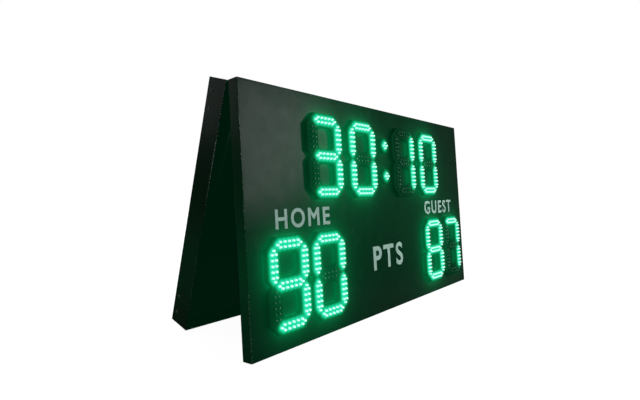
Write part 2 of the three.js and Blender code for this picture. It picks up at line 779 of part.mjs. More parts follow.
// Lead run as the rear cabinet sees it, so that both halves meet in the middle while the board stands open.
const leadTurn = Math.atan2(leadReach, leadDrop) - 2 * halfAngle;
const leadRadial = Math.hypot(leadReach, leadDrop);
const leadRearY = -leadRadial * Math.sin(leadTurn);
const leadRearZ = -leadRadial * Math.cos(leadTurn);
const rearLeadHole = rodY(grommetHoleRadius, panInner - overrun, panOuter + overrun, -leadOffset, leadRearZ);

const panX = halfWidth - sheet - seat;
const panTop = topLevel - sheet - seat;
const panBottom = bottomLevel + sheet + seat;
const panBlock = block(-panX, panX, panInner, innerFace, panBottom, panTop);
const panHollow = block(-panX + sheet, panX - sheet, panOuter, innerFace + overrun,
  panBottom + sheet, panTop - sheet);
const pan = shaped([panBlock], [panHollow, rearLeadHole, ...hingeScrewHoles()]);
const studs = [-1, 1].map((side) => slotStud(side * stayOffset));
named('rear_cover', shaped([pan, ...coverScrews(rearScrews, panOuter), ...studs]), blackPaint, rear);
furnish(rear, 'rear', rearOuter, rearDepth, panInner);

// The power supply feeds the loom from its upper edge.
const supplyOutY = panInner - supplyHeight / 2;
const rearLoomY = rearOuter + sheet + bossLength + seat + loomRadius;
const supplyTop = topLevel - electronicsDrop + supplyWidth / 2 + seat;
const supplyTap = [
  rodY(loomRadius, rearLoomY, supplyOutY + loomRadius, leadOffset, topLevel - loomDrop, loomSides),
  rodZ(loomRadius, supplyTop, topLevel - loomDrop, leadOffset, supplyOutY, loomSides),
];
named('rear_loom', loom(rearOuter, panInner, leadRearZ, panOuter - leadTail, supplyTap), leadBlack, rear);
for (const [place, x] of Object.entries(hingePlaces)) {
  named(`hinge_rear_leaf_${place}`, hingeLeaf(-x, [-1, 1], false), zincSteel, rear);
}
named('rear_grommet', grommet(-leadOffset, leadRearZ, panOuter, panInner), blackRubber, rear);
named('link_lead_rear', leadHalf(leadRearY, leadRearZ, panOuter), leadBlack, rear);

// Corner brackets, each with the two screws seen on the cabinet's end
function cornerBracket(across, up) {
  const corner = up > 0 ? panTop : panBottom;
  const [y0, y1] = [sideScrewY - cornerWidth / 2, sideScrewY + cornerWidth / 2];
  const upright = block(across * (panX - cornerSheet), across * panX, y0, y1,
    corner - up * cornerLeg, corner);
  const shelf = block(across * (panX - cornerFootLength), across * panX, y0, y1,
    corner - up * cornerSheet, corner);
  const edge = up > 0 ? topLevel : bottomLevel;
  const screws = sideScrewDrops.map((drop) => (
    screw(sideScrewHeadRadius, sideScrewHeadHeight, -seat)
      .rotateZ(across * Math.PI / 2).translate(across * halfWidth, sideScrewY, edge - up * drop)));
  return shaped([upright, shelf, ...screws]);
}

for (const [row, up] of Object.entries({ upper: 1, lower: -1 })) {
  for (const [place, across] of Object.entries({ left: -1, right: 1 })) {
    named(`corner_bracket_${row}_${place}`, cornerBracket(across, up), zincSteel, rear);
  }
}

// Electronics of the rear cabinet
named('power_supply', powerSupply(panInner), bareAluminium, rear);
const boardTop = panInner - seat - standoffHeight - circuitThickness;
const antennaX = -controlOffset - circuitLength / 2 + antennaBaseSize;
const antennaZ = topLevel - electronicsDrop - circuitWidth / 4;
const baseHalf = antennaBaseSize / 2;
const antenna = [
  block(antennaX - baseHalf, antennaX + baseHalf, boardTop - antennaBaseSize, boardTop + bite,
    antennaZ - baseHalf, antennaZ + baseHalf),
  rodZ(antennaRadius, antennaZ, antennaZ + antennaLength, antennaX, boardTop - baseHalf, smallSides),
];
named('control_board', circuitBoard(-controlOffset, electronicsDrop, panInner, controlRows, antenna),
  boardGreen, rear);
const sounderX = -controlOffset + circuitLength / 4 + sounderRadius / 2;
const sounderZ = topLevel - electronicsDrop - circuitWidth / 2 + sounderRadius + standoffInset;
named('sounder', rodY(sounderRadius, boardTop - seat - sounderHeight, boardTop - seat, sounderX, sounderZ),
  blackPlastic, rear);

// Connector dish let into the rear cabinet's end; inside its group -Y points out of the end
const dish = new THREE.Group();
dish.position.set(-halfWidth, dishY, dishZ);
dish.rotation.z = -Math.PI / 2;
rear.add(dish);

const dishNear = sheet + seat;
const dishFloor = dishDepth;
const tub = block(-dishHalfWidth - dishSheet, dishHalfWidth + dishSheet, dishNear, dishFloor + dishSheet,
  -dishHalfHeight - dishSheet, dishHalfHeight + dishSheet);
const dishRim = block(-dishHalfWidth - dishFlange, dishHalfWidth + dishFlange, dishNear, dishNear + dishSheet,
  -dishHalfHeight - dishFlange, dishHalfHeight + dishFlange);
const dishHollow = block(-dishHalfWidth, dishHalfWidth, dishNear - overrun, dishFloor,
  -dishHalfHeight, dishHalfHeight);

// A block of the dish group, centred across it and on a level, from one depth to another.
function centred(halfAcross, halfUp, level, from, to) {
  return block(-halfAcross, halfAcross, from, to, level - halfUp, level + halfUp);
}

const throughFloor = [dishFloor - overrun, dishFloor + dishSheet + overrun];
const inletHole = centred(inletHalfWidth + seat, inletHalfHeight + seat, inletRise, ...throughFloor);
const switchHole = centred(switchHalfWidth + seat, switchHalfHeight + seat, -switchDrop, ...throughFloor);
named('connector_dish', shaped([tub, dishRim], [dishHollow, inletHole, switchHole]), blackPaint, dish);

const bezelBack = dishFloor - seat;
const bezelFront = bezelBack - bezelHeight;
const inletBody = centred(inletHalfWidth, inletHalfHeight, inletRise, bezelFront, dishFloor + inletBodyDepth);
const inletFrame = centred(inletHalfWidth + inletBezel, inletHalfHeight + inletBezel, inletRise,
  bezelFront, bezelBack);
const socket = centred(socketHalfWidth, socketHalfHeight, inletRise,
  bezelFront - overrun, bezelFront + socketDepth);
const bladePlaces = [[bladeOffset, bladeSpread], [bladeOffset, -bladeSpread], [-bladeOffset, 0]];
const blades = bladePlaces.map(([x, z]) => block(x - bladeWidth / 2, x + bladeWidth / 2,
  bezelFront + socketDepth - bladeLength, bezelFront + socketDepth + bite,
  inletRise + z - bladeThickness / 2, inletRise + z + bladeThickness / 2));
named('power_inlet', shaped([shaped([inletBody, inletFrame], [socket]), ...blades]), blackPlastic, dish);

const rockerPivotY = bezelFront + rockerPivotDepth;
const switchBody = centred(switchHalfWidth, switchHalfHeight, -switchDrop,
  bezelFront, dishFloor + switchBodyDepth);
const switchFrame = centred(switchHalfWidth + switchBezel, switchHalfHeight + switchBezel, -switchDrop,
  bezelFront, bezelBack);
const rockerWell = centred(rockerWellHalfWidth, rockerWellHalfHeight, -switchDrop,
  bezelFront - overrun, bezelFront + rockerWellDepth);
const trunnionBore = rodX(trunnionRadius + seat, -trunnionReach - seat, trunnionReach + seat,
  rockerPivotY, -switchDrop, smallSides);
named('switch_frame', shaped([switchBody, switchFrame], [rockerWell, trunnionBore]), blackPlastic, dish);

const rockerOutline = polygon([
  [-rockerCrown, -rockerHalfHeight], [-rockerShoulder, -rockerHalfHeight],
  [rockerKeel, -rockerKeelHalf], [rockerKeel, rockerKeelHalf],
  [-rockerShoulder, rockerHalfHeight], [-rockerCrown, rockerHalfHeight],
  [-rockerDip, 0],
]);
const rocker = named('switch_rocker', shaped([
  plateX(rockerOutline, [], -rockerHalfWidth, rockerHalfWidth),
  rodX(trunnionRadius, -trunnionReach, trunnionReach, 0, 0, smallSides),
]), blackPlastic, dish);
rocker.position.set(0, rockerPivotY, -switchDrop);
rocker.rotation.x = rockerTilt;

// The feet stand on the floor, and the board's middle lies over the origin.
scoreboard.updateMatrixWorld(true);
const reach = new THREE.Box3().setFromObject(scoreboard, true);
const middle = reach.getCenter(new THREE.Vector3());
scoreboard.position.set(-middle.x, -middle.y, -reach.min.z);
scoreboard.updateMatrixWorld(true);

export default scoreboard;
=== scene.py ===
"""Looks of a folding two-sided scoreboard, built round its fixed frame."""

import json
import math

import bmesh
import bpy
import numpy as np
from bpy.props import FloatProperty, FloatVectorProperty, IntProperty, PointerProperty, StringProperty
from mathutils import Matrix, Vector


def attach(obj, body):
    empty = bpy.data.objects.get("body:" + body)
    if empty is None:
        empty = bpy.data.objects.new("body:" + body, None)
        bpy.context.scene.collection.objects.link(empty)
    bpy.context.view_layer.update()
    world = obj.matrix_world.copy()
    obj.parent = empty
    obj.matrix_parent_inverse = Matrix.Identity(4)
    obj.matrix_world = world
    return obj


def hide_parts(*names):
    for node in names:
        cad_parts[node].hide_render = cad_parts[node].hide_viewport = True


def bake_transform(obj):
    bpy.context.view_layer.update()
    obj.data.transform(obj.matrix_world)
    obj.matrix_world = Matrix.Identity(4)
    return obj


bl_info = {
    "name": "Folding Scoreboard",
    "version": (1, 0, 0),
    "blender": (4, 5, 0),
    "location": "3D View > Sidebar > Scoreboard",
    "description": "Dresses a folding two-sided lamp scoreboard on its frame",
    "category": "Add Mesh",
}

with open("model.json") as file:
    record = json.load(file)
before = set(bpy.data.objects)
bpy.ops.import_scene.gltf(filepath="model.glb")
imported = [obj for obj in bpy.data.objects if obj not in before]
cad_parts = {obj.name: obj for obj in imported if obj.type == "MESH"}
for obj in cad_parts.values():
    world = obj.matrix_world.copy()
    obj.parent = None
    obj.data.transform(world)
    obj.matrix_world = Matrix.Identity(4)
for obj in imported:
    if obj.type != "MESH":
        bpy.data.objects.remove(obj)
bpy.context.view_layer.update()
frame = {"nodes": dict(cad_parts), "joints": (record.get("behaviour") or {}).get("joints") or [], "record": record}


def shift(x, y, z):
    return Matrix.Translation((x, y, z))


def spin(degrees, axis):
    return Matrix.Rotation(math.radians(degrees), 4, axis)


# Every cabinet is built upright, with its face towards -Y and the fold at the origin, and then leaned
LEAN = 10
FOLD = next(j for j in frame["joints"] if j["name"] == "board_fold")["pos_m"]
FRONT = shift(*FOLD) @ spin(-LEAN, "X")
REAR = shift(*FOLD) @ spin(180, "Z") @ spin(-LEAN, "X")
CABINETS = {"front": (FRONT, "front_board"), "rear": (REAR, "rear_board")}
ENDS = {"left": -1, "right": 1}
# The level of the cabinets' tops and the depth of their inner sides
TOP = -0.0038
INNER = -0.002
# Room between two sheets or a sheet and what lies on it
CLEAR = 0.0003
# Middle of the connector dish in the far cabinet's end, as depth and level, and half of its opening
DISH = Vector((-0.0435, -0.4698))
DISH_HALF = Vector((0.014, 0.05))
# The stays' pivots on the near cabinet and their studs on the far one, as depth and level
PIVOT = (0.011, -0.1)
STUD = (-0.011, -0.26)

# Where the figures stand on a face, as across and below the fold, and what each one shows
UPPER_ROW = -0.1603
LOWER_ROW = -0.4558
FIGURES = {
    "clock_1": (-0.279, UPPER_ROW, "abcdg"),
    "clock_2": (-0.116, UPPER_ROW, "abcdef"),
    "clock_3": (0.116, UPPER_ROW, "bc"),
    "clock_4": (0.279, UPPER_ROW, "abcdef"),
    "left_1": (-0.4335, LOWER_ROW, "abcdfg"),
    "left_2": (-0.290, LOWER_ROW, "abcdef"),
    "right_1": (0.290, LOWER_ROW, "abcdefg"),
    "right_2": (0.4335, LOWER_ROW, "abc"),
}
COLON = ((0.0, -0.1143), (0.0, -0.2063))
COLON_LAMPS = ((0.00775, 0), (0, 0.00775), (-0.00775, 0), (0, -0.00775))
SEGMENTS = {
    "a": (0, 1), "b": (1, 0.5), "c": (1, -0.5), "d": (0, -1), "e": (-1, -0.5), "f": (-1, 0.5), "g": (0, 0),
}
# Level and reach of one lamp's light: a round spot, and what falls off more slowly
LIGHT_SPOT = (3.2, 0.0063)
LIGHT_TAILS = ((0.44, 0.006), (0.050, 0.018), (0.0009, 0.120))

# How strongly folded edges carry the wear and painted glints, against the open rim of the far cabinet
FOLD_WEAR_AND_GLINT = 0.19
# The material slot of each finish; a slot's last finish here is the one of its frame nodes
SLOTS = {
    "cabinet_paint": "black_paint", "ink": "black_paint", "bare_paint": "black_paint",
    "housing_plastic": "black_plastic", "lit_lamp": "black_plastic", "black_plastic": "black_plastic",
    "rubber": "black_rubber", "zinc": "zinc_steel", "aluminium": "bare_aluminium",
    "circuit": "circuit_board", "sheath": "lead_sheath",
}

# The camera that the photograph was taken with, found from the corners of the cabinets, in pixels
PICTURE_WIDTH, PICTURE_HEIGHT = 640.0, 400.0
FOCAL_LENGTH = 442.67
AXIS_X, AXIS_Y = 313.80, 195.02
# and in metres and radians
CAMERA = (-1.1492, -0.8002, 0.4414)
PAN, TILT, ROLL = -0.861, -0.0849, -0.0744


# Properties

def metres(name, description, default):
    return FloatProperty(name=name, description=description, default=default, unit="LENGTH")


def watts(name, description, default):
    return FloatProperty(name=name, description=description, default=default, unit="POWER")


def tint(name, description, default):
    return FloatVectorProperty(name=name, description=description, default=default, subtype="COLOR")


def word(name, description, default):
    return StringProperty(name=name, description=description, default=default)


class CabinetSizes(bpy.types.PropertyGroup):
    width: metres("Width", "Width of each cabinet", 1.1)
    height: metres("Height", "Height of each cabinet", 0.6)
    front_depth: metres("Front depth", "Depth of the near cabinet", 0.029)
    rear_depth: metres("Rear depth", "Depth of the far cabinet", 0.063)
    recess: metres("Recess", "How deep the far cabinet's cover lies", 0.02)
    sheet: metres("Sheet", "Thickness of the sheet metal", 0.001)
    fold_radius: metres("Fold radius", "Outer radius of a folded edge", 0.0016)
    lip: metres("Lip", "Width of the lip behind the near cabinet's cover", 0.015)
    cell: metres("Face cell", "Size of the cells that carry the glow on a face", 0.008)


class FigureSizes(bpy.types.PropertyGroup):
    rise: metres("Housing rise", "How far a housing stands out of the face", 0.011)
    lamp_radius: metres("Lamp radius", "Radius of a lamp", 0.0027)
    lamp_rise: metres("Lamp rise", "How far a lamp stands out of its housing", 0.007)
    lamp_sides: IntProperty(name="Lamp sides", description="Sides of a lamp", default=10, min=6, max=24)
    edge: metres("Edge radius", "Radius of a housing's front edge", 0.0014)


class HardwareSizes(bpy.types.PropertyGroup):
    screw_radius: metres("Screw head", "Radius of a cover or hinge screw's head", 0.0036)
    screw_rise: metres("Screw rise", "Height of a cover or hinge screw's head", 0.0017)
    end_screw_radius: metres("End screw head", "Radius of an end screw's head", 0.0038)
    end_screw_rise: metres("End screw rise", "Height of an end screw's head", 0.0014)
    hinge_length: metres("Hinge length", "Length of a hinge", 0.07)
    knuckle: metres("Knuckle radius", "Outer radius of a hinge knuckle", 0.0035)
    stay_width: metres("Stay width", "Width of a stay arm", 0.016)
    lead_radius: metres("Lead radius", "Radius of the lead between the cabinets", 0.003)


class Lettering(bpy.types.PropertyGroup):
    left: word("Left word", "Word above the left score", "HOME")
    right: word("Right word", "Word above the right score", "GUEST")
    middle: word("Middle word", "Word between the scores", "PTS")
    spacing: FloatProperty(
        name="Spacing", description="Distance between letters", default=1.25, min=0.8, max=2.0)
    ink: tint("Ink", "Colour of the printed words", (0.36, 0.52, 0.45))


class Finishes(bpy.types.PropertyGroup):
    paint: tint("Paint", "Powder coat of the cabinets", (0.0008, 0.0076, 0.0036))
    plastic: tint("Plastic", "Plastic of the housings", (0.0008, 0.0066, 0.0032))
    glow: tint("Glow", "Light that the lamps throw on what is round them", (0.0, 0.56, 0.165))
    glow_bright: tint("Bright glow", "Light between crowded lamps", (0.015, 0.80, 0.42))
    lamp_side: tint("Lamp side", "Light of a lit lamp's side", (0.20, 1.0, 0.74))
    lamp_core: tint("Lamp core", "Light of a lit lamp's tip", (0.80, 1.0, 0.98))


class Studio(bpy.types.PropertyGroup):
    floor: tint("Floor", "Colour of the floor", (0.25, 0.25, 0.25))
    key: watts("Key light", "Power of the main soft light", 17.0)
    fill: watts("Fill light", "Power of the side light", 5.5)
    back: watts("Back light", "Power of the far side's light", 16.0)


def depth_of(side):
    return getattr(bpy.context.scene.board_cabinet, f"{side}_depth")


# Materials

def feed(tree, socket, value):
    """Links a socket to another one, or sets it to a number or a colour."""
    if hasattr(value, "is_linked"):
        tree.links.new(value, socket)
    elif socket.type == "RGBA":
        socket.default_value = (*value, 1.0)
    else:
        socket.default_value = value


def shader_node(tree, kind, sockets=None, **settings):
    node = tree.nodes.new(kind)
    for key, value in settings.items():
        setattr(node, key, value)
    for key, value in (sockets or {}).items():
        feed(tree, node.inputs[key], value)
    return node


def calculate(tree, operation, *values):
    node = shader_node(tree, "ShaderNodeMath", operation=operation)
    for socket, value in zip(node.inputs, values):
        feed(tree, socket, value)
    return node.outputs[0]


def remap(tree, source, from_ends=(0.0, 1.0), to_ends=(0.0, 1.0)):
    """Maps a value from one range on to another, and clamps it."""
    ends = dict(zip(("From Min", "From Max", "To Min", "To Max"), (*from_ends, *to_ends)))
    return shader_node(tree, "ShaderNodeMapRange", {"Value": source, **ends}, clamp=True).outputs["Result"]


def noise(tree, place, scale, detail, roughness=0.5):
    sockets = {"Vector": place, "Scale": scale, "Detail": detail, "Roughness": roughness}
    return shader_node(tree, "ShaderNodeTexNoise", sockets).outputs["Fac"]


def blend_colour(tree, factor, first, second):
    sockets = {"Factor": factor, "A": first, "B": second}
    return shader_node(tree, "ShaderNodeMix", sockets, data_type="RGBA").outputs["Result"]


def face_attribute(tree, name):
    return shader_node(tree, "ShaderNodeAttribute", attribute_name=name).outputs["Fac"]


def toned(colour, share):
    return tuple(c * share for c in colour)


def new_group(name, numbers, results):
    """A shader group that takes a vector and numbers and gives numbers, with its end nodes' sockets."""
    group = bpy.data.node_groups.new(name, "ShaderNodeTree")
    group.interface.new_socket(name="Vector", in_out="INPUT", socket_type="NodeSocketVector")
    for label, value in numbers.items():
        socket = group.interface.new_socket(name=label, in_out="INPUT", socket_type="NodeSocketFloat")
        socket.default_value = value
    for label in results:
        group.interface.new_socket(name=label, in_out="OUTPUT", socket_type="NodeSocketFloat")
    return group, group.nodes.new("NodeGroupInput").outputs, group.nodes.new("NodeGroupOutput").inputs


def grain_group():
    """Fine grain of powder coat, moulded plastic or rubber: a height, a soft mottle and rare specks that the paint
    uses for painted glints.
    """
    known = bpy.data.node_groups.get("Surface grain")
    if known:
        return known
    group, given, results = new_group(
        "Surface grain", {"Fine": 900.0, "Broad": 60.0}, ("Height", "Mottle", "Glint specks"))
    fine = noise(group, given["Vector"], given["Fine"], 3.0, 0.6)
    broad = noise(group, given["Vector"], given["Broad"], 4.0, 0.55)
    dots = shader_node(group, "ShaderNodeTexVoronoi", {
        "Vector": given["Vector"], "Scale": 110.0, "Randomness": 1.0})
    height = calculate(group, "MULTIPLY_ADD", fine, 0.7, calculate(group, "MULTIPLY", broad, 0.3))
    feed(group, results["Height"], height)
    feed(group, results["Mottle"], remap(group, broad, (0.3, 0.7)))
    feed(group, results["Glint specks"], remap(group, dots.outputs["Distance"], (0.07, 0.04)))
    return group


def wear_and_glint_group():
    """Where an edge has lost its finish, and where it gets bright painted glints: the edge mask broken up by two
    sizes of noise.
    """
    known = bpy.data.node_groups.get("Edge wear and glints")
    if known:
        return known
    group, given, results = new_group("Edge wear and glints", {"Edge": 0.0, "Spot scale": 400.0, "Limit": 0.58}, ("Mask",))
    spot_noise = noise(group, given["Vector"], given["Spot scale"], 2.0)
    spread = noise(group, given["Vector"], 7.0, 1.0)
    over = calculate(group, "SUBTRACT", calculate(group, "MULTIPLY_ADD", spread, 0.35, spot_noise), given["Limit"])
    feed(group, results["Mask"], calculate(group, "MULTIPLY", remap(group, over, (0.14, 0.2)), given["Edge"]))
    return group


def grain_at(tree, place, fine, broad):
    sockets = {"Vector": place, "Fine": fine, "Broad": broad}
    return shader_node(tree, "ShaderNodeGroup", sockets, node_tree=grain_group()).outputs


def start_material(name, roughness, metallic=0.0, specular=0.5):
    """A material with its Principled shader, and the object coordinates that its patterns follow."""
    material = bpy.data.materials.new(name)
    material.use_nodes = True
    tree = material.node_tree
    shader = tree.nodes["Principled BSDF"]
    shader.inputs["Roughness"].default_value = roughness
    shader.inputs["Metallic"].default_value = metallic
    shader.inputs["Specular IOR Level"].default_value = specular
    return material, tree, shader, shader_node(tree, "ShaderNodeTexCoord").outputs["Object"]


def roughen(tree, shader, height, strength, distance):
    bump = shader_node(tree, "ShaderNodeBump", {"Strength": strength, "Distance": distance, "Height": height})
    feed(tree, shader.inputs["Normal"], bump.outputs["Normal"])


def emit(tree, shader, colour):
    feed(tree, shader.inputs["Emission Color"], colour)
    shader.inputs["Emission Strength"].default_value = 1.0


def add_glow(tree, shader, colours):
    """Light thrown by the lamps: nothing, then a deep tone, then a bright one where they crowd."""
    deep, bright = colours
    glow = face_attribute(tree, "glow")
    low = blend_colour(tree, remap(tree, glow, (0.0, 0.5)), (0.0, 0.0, 0.0), toned(deep, 0.5))
    emit(tree, shader, blend_colour(tree, remap(tree, glow, (0.5, 1.0)), low, bright))


def painted_steel(name, colour, glow):
    """Powder-coated sheet; inside the cabinets it only has a painted trace of the lamps' light, a constant faint
    green glow.
    """
    material, tree, shader, place = start_material(name, 0.5, specular=0.04)
    grain = grain_at(tree, place, 1100.0, 28.0)
    wear_and_glints = shader_node(tree, "ShaderNodeGroup", {
        "Vector": place, "Edge": face_attribute(tree, "edge")}, node_tree=wear_and_glint_group())
    base = blend_colour(tree, grain["Mottle"], colour, toned(colour, 1.5))
    # Painted glints: rare lighter specks in the base colour where the mottle is high, standing in for light
    # sparkling on the powder coat
    painted_glints = calculate(tree, "MULTIPLY", grain["Glint specks"], remap(tree, grain["Mottle"], (0.55, 0.8)))
    base = blend_colour(tree, painted_glints, base, (0.10, 0.12, 0.115))
    # Worn chips and painted glints: a light metal colour on edges, strongest on the far cabinet's open rim near
    # the top
    worn_and_glinting = blend_colour(tree, wear_and_glints.outputs["Mask"], base, (0.74, 0.82, 0.79))
    feed(tree, shader.inputs["Base Color"], worn_and_glinting)
    feed(tree, shader.inputs["Roughness"], remap(tree, grain["Mottle"], to_ends=(0.20, 0.30)))
    roughen(tree, shader, grain["Height"], 0.18, 0.0004)
    if glow is not None:
        add_glow(tree, shader, glow)
    else:
        # Painted light: a constant faint green glow on every inner sheet
        emit(tree, shader, (0.0, 0.0085, 0.0035))
    return material


def grained(name, colour, contrast, scales, bump, roughness, spread=None, glow=None, **shine):
    """A finish that varies softly over a fine grain; the spread is how far its roughness goes both ways."""
    material, tree, shader, place = start_material(name, roughness, **shine)
    grain = grain_at(tree, place, *scales)
    base = blend_colour(tree, grain["Mottle"], colour, toned(colour, contrast))
    feed(tree, shader.inputs["Base Color"], base)
    if spread is not None:
        ends = (roughness - spread[0], roughness + spread[1])
        feed(tree, shader.inputs["Roughness"], remap(tree, grain["Mottle"], to_ends=ends))
    roughen(tree, shader, grain["Height"], *bump)
    if glow is not None:
        add_glow(tree, shader, glow)
    return material


def moulded(name, colour, roughness, fine, glow=None):
    return grained(
        name, colour, 1.7, (fine, 90.0), (0.25, 0.0003), roughness, (0.06, 0.08), glow, specular=0.015)


def plated(name, colour, roughness):
    return grained(
        name, colour, 0.72, (700.0, 120.0), (0.15, 0.0002), roughness, (0.08, 0.12), metallic=1.0)


def printed_ink(name, colour):
    return grained(name, colour, 0.82, (1100.0, 45.0), (0.3, 0.0003), 0.6, specular=0.05)


def lit_lamp(name, side, core):
    material, tree, shader, place = start_material(name, 0.25)
    feed(tree, shader.inputs["Base Color"], (0.02, 0.2, 0.1))
    paler = tuple(min(1.0, c * 1.15 + 0.02) for c in side)
    flank = blend_colour(tree, noise(tree, place, 70.0, 1.0), side, paler)
    emit(tree, shader, blend_colour(tree, face_attribute(tree, "core"), flank, core))
    return material


def dark_lamp(name, glow):
    material, tree, shader, _ = start_material(name, 0.16, specular=0.3)
    # Painted highlight: the tip of an unlit lamp gets a lighter colour in place of the small glint on its dome
    tip = remap(tree, face_attribute(tree, "core"), (0.9, 1.0))
    base = blend_colour(tree, tip, (0.0010, 0.0070, 0.0040), (0.07, 0.15, 0.115))
    feed(tree, shader.inputs["Base Color"], base)
    add_glow(tree, shader, glow)
    return material


def circuit(name):
    """Solder mask with tracks: two crossed bands of fine lines under a green coat."""
    material, tree, shader, place = start_material(name, 0.35)
    tracks = shader_node(tree, "ShaderNodeTexBrick", {
        "Vector": place, "Scale": 60.0, "Mortar Size": 0.03, "Mortar": (0.05, 0.20, 0.07),
        "Color1": (0.012, 0.085, 0.035), "Color2": (0.016, 0.11, 0.045)})
    feed(tree, shader.inputs["Base Color"], tracks.outputs["Color"])
    roughen(tree, shader, tracks.outputs["Fac"], 0.2, 0.0001)
    return material


def finish_of(kind):
    """The material of a kind of finish, made the first time that it is asked for."""
    known = bpy.data.materials.get(kind)
    if known:
        return known
    colours = bpy.context.scene.board_finishes
    glow = (colours.glow, colours.glow_bright)
    makers = {
        "cabinet_paint": lambda: painted_steel(kind, colours.paint, glow),
        "bare_paint": lambda: painted_steel(kind, colours.paint, None),
        "housing_plastic": lambda: moulded(kind, colours.plastic, 0.78, 1400.0, glow),
        "black_plastic": lambda: moulded(kind, colours.plastic, 0.45, 1400.0),
        "rubber": lambda: moulded(kind, (0.010, 0.010, 0.010), 0.8, 500.0),
        "sheath": lambda: moulded(kind, (0.010, 0.010, 0.011), 0.5, 300.0),
        "zinc": lambda: plated(kind, (0.42, 0.43, 0.43), 0.38),
        "dark_nickel": lambda: plated(kind, (0.17, 0.175, 0.17), 0.34),
        "aluminium": lambda: plated(kind, (0.6, 0.61, 0.62), 0.42),
        "circuit": lambda: circuit(kind),
        "lit_lamp": lambda: lit_lamp(kind, colours.lamp_side, colours.lamp_core),
        "dark_lamp": lambda: dark_lamp(kind, glow),
        "ink": lambda: printed_ink(kind, bpy.context.scene.board_lettering.ink),
    }
    return makers[kind]()


# Meshes

def as_mesh(bm, name):
    mesh = bpy.data.meshes.new(name)
    bm.to_mesh(mesh)
    bm.free()
    return mesh


def make_piece(bm, name, body, kinds, nodes=(), matrix=None):
    """Turns a finished bmesh, moved by a matrix, into a piece; it rides on a body unless that is None."""
    if matrix is not None:
        bm.transform(matrix)
    mesh = as_mesh(bm, name)
    mesh.shade_smooth()
    mesh.set_sharp_from_angle(angle=math.radians(35.0))
    for kind in kinds:
        mesh.materials.append(finish_of(kind))
    piece = bpy.data.objects.new(name, mesh)
    bpy.context.scene.collection.objects.link(piece)
    if nodes:
        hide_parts(*nodes)
    if body is not None:
        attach(piece, body)
    return piece


def cabinet_piece(bm, side, name, kinds, nodes=()):
    """A piece built in a cabinet's own coordinates."""
    matrix, body = CABINETS[side]
    return make_piece(bm, name, body, kinds, nodes, matrix)


def thicken(piece, thickness):
    wall = piece.modifiers.new("Sheet", "SOLIDIFY")
    wall.thickness = thickness
    wall.offset = -1.0
    wall.use_even_offset = True
    flat = piece.modifiers.new("Flat faces", "WEIGHTED_NORMAL")
    flat.keep_sharp = True


def face_forward(bm, order):
    """Turns every face round if the one that comes last in an order looks backwards."""
    bm.normal_update()
    if max(bm.faces, key=order).normal.y > 0:
        bmesh.ops.reverse_faces(bm, faces=bm.faces[:])


def flatness(face):
    return abs(face.normal.y)


def pull_edges(bm, edges, offset=(0, 0, 0)):
    """Draws faces out of edges, and returns the new vertices and edges."""
    grown = bmesh.ops.extrude_edge_only(bm, edges=edges)["geom"]
    verts = [v for v in grown if isinstance(v, bmesh.types.BMVert)]
    bmesh.ops.translate(bm, verts=verts, vec=offset)
    return verts, [e for e in grown if isinstance(e, bmesh.types.BMEdge)]


def pull_faces(bm, faces, offset):
    """Draws faces out, and returns the vertices that moved."""
    grown = bmesh.ops.extrude_face_region(bm, geom=faces)["geom"]
    verts = [v for v in grown if isinstance(v, bmesh.types.BMVert)]
    bmesh.ops.translate(bm, verts=verts, vec=offset)
    return verts


def round_edges(bm, edges, radius, steps=3):
    """Rounds edges and marks their new faces for the wear and painted glints."""
    mark = bm.faces.layers.float.get("edge") or bm.faces.layers.float.new("edge")
    made = bmesh.ops.bevel(
        bm, geom=edges, offset=radius, offset_type="OFFSET", segments=steps, profile=0.5,
        affect="EDGES", material=-1)
    for face in made["faces"]:
        face[mark] = FOLD_WEAR_AND_GLINT


def sharp_edges(bm, degrees=40.0):
    bm.normal_update()
    limit = math.radians(degrees)
    return [e for e in bm.edges if len(e.link_faces) == 2 and e.calc_face_angle(0.0) > limit]


def cut(bm, place, normal, faces=None, clear=False):
    """Cuts faces, or all of the mesh, along a plane, and can take off what lies beyond it."""
    if faces is None:
        geometry = bm.verts[:] + bm.edges[:] + bm.faces[:]
    else:
        corners = dict.fromkeys(v for f in faces for v in f.verts)
        borders = dict.fromkeys(e for f in faces for e in f.edges)
        geometry = [*corners, *borders, *faces]
    bmesh.ops.bisect_plane(
        bm, geom=geometry, dist=1e-7, plane_co=place, plane_no=normal, clear_outer=clear)


def upright_cells(width, low, high, cell, y=0.0):
    """A flat mesh of cells in X and Z."""
    across, up = (max(1, round(size / cell)) for size in (width, high - low))
    bm = bmesh.new()
    bmesh.ops.create_grid(bm, x_segments=across, y_segments=up, size=0.5)
    stand = shift(0, y, (low + high) / 2) @ spin(90, "X") @ Matrix.Diagonal((width, high - low, 1, 1))
    bmesh.ops.transform(bm, matrix=stand, verts=bm.verts)
    return bm


def folded_pan(width, low, high, face_y, open_y, lip, cell, radius):
    """A pan folded from sheet, as its outer skin: a face of cells, four returns and, if wanted, a lip."""
    bm = upright_cells(width, low, high, cell, face_y)
    pull_edges(bm, [e for e in bm.edges if e.is_boundary], (0, open_y - face_y, 0))
    if lip > 0:
        verts, _ = pull_edges(bm, [e for e in bm.edges if e.is_boundary])
        for vert in verts:
            vert.co.x = min(max(vert.co.x, lip - width / 2), width / 2 - lip)
            vert.co.z = min(max(vert.co.z, low + lip), high - lip)
        bmesh.ops.remove_doubles(bm, verts=bm.verts, dist=1e-5)
    face_forward(bm, flatness)
    round_edges(bm, sharp_edges(bm), radius)
    return bm


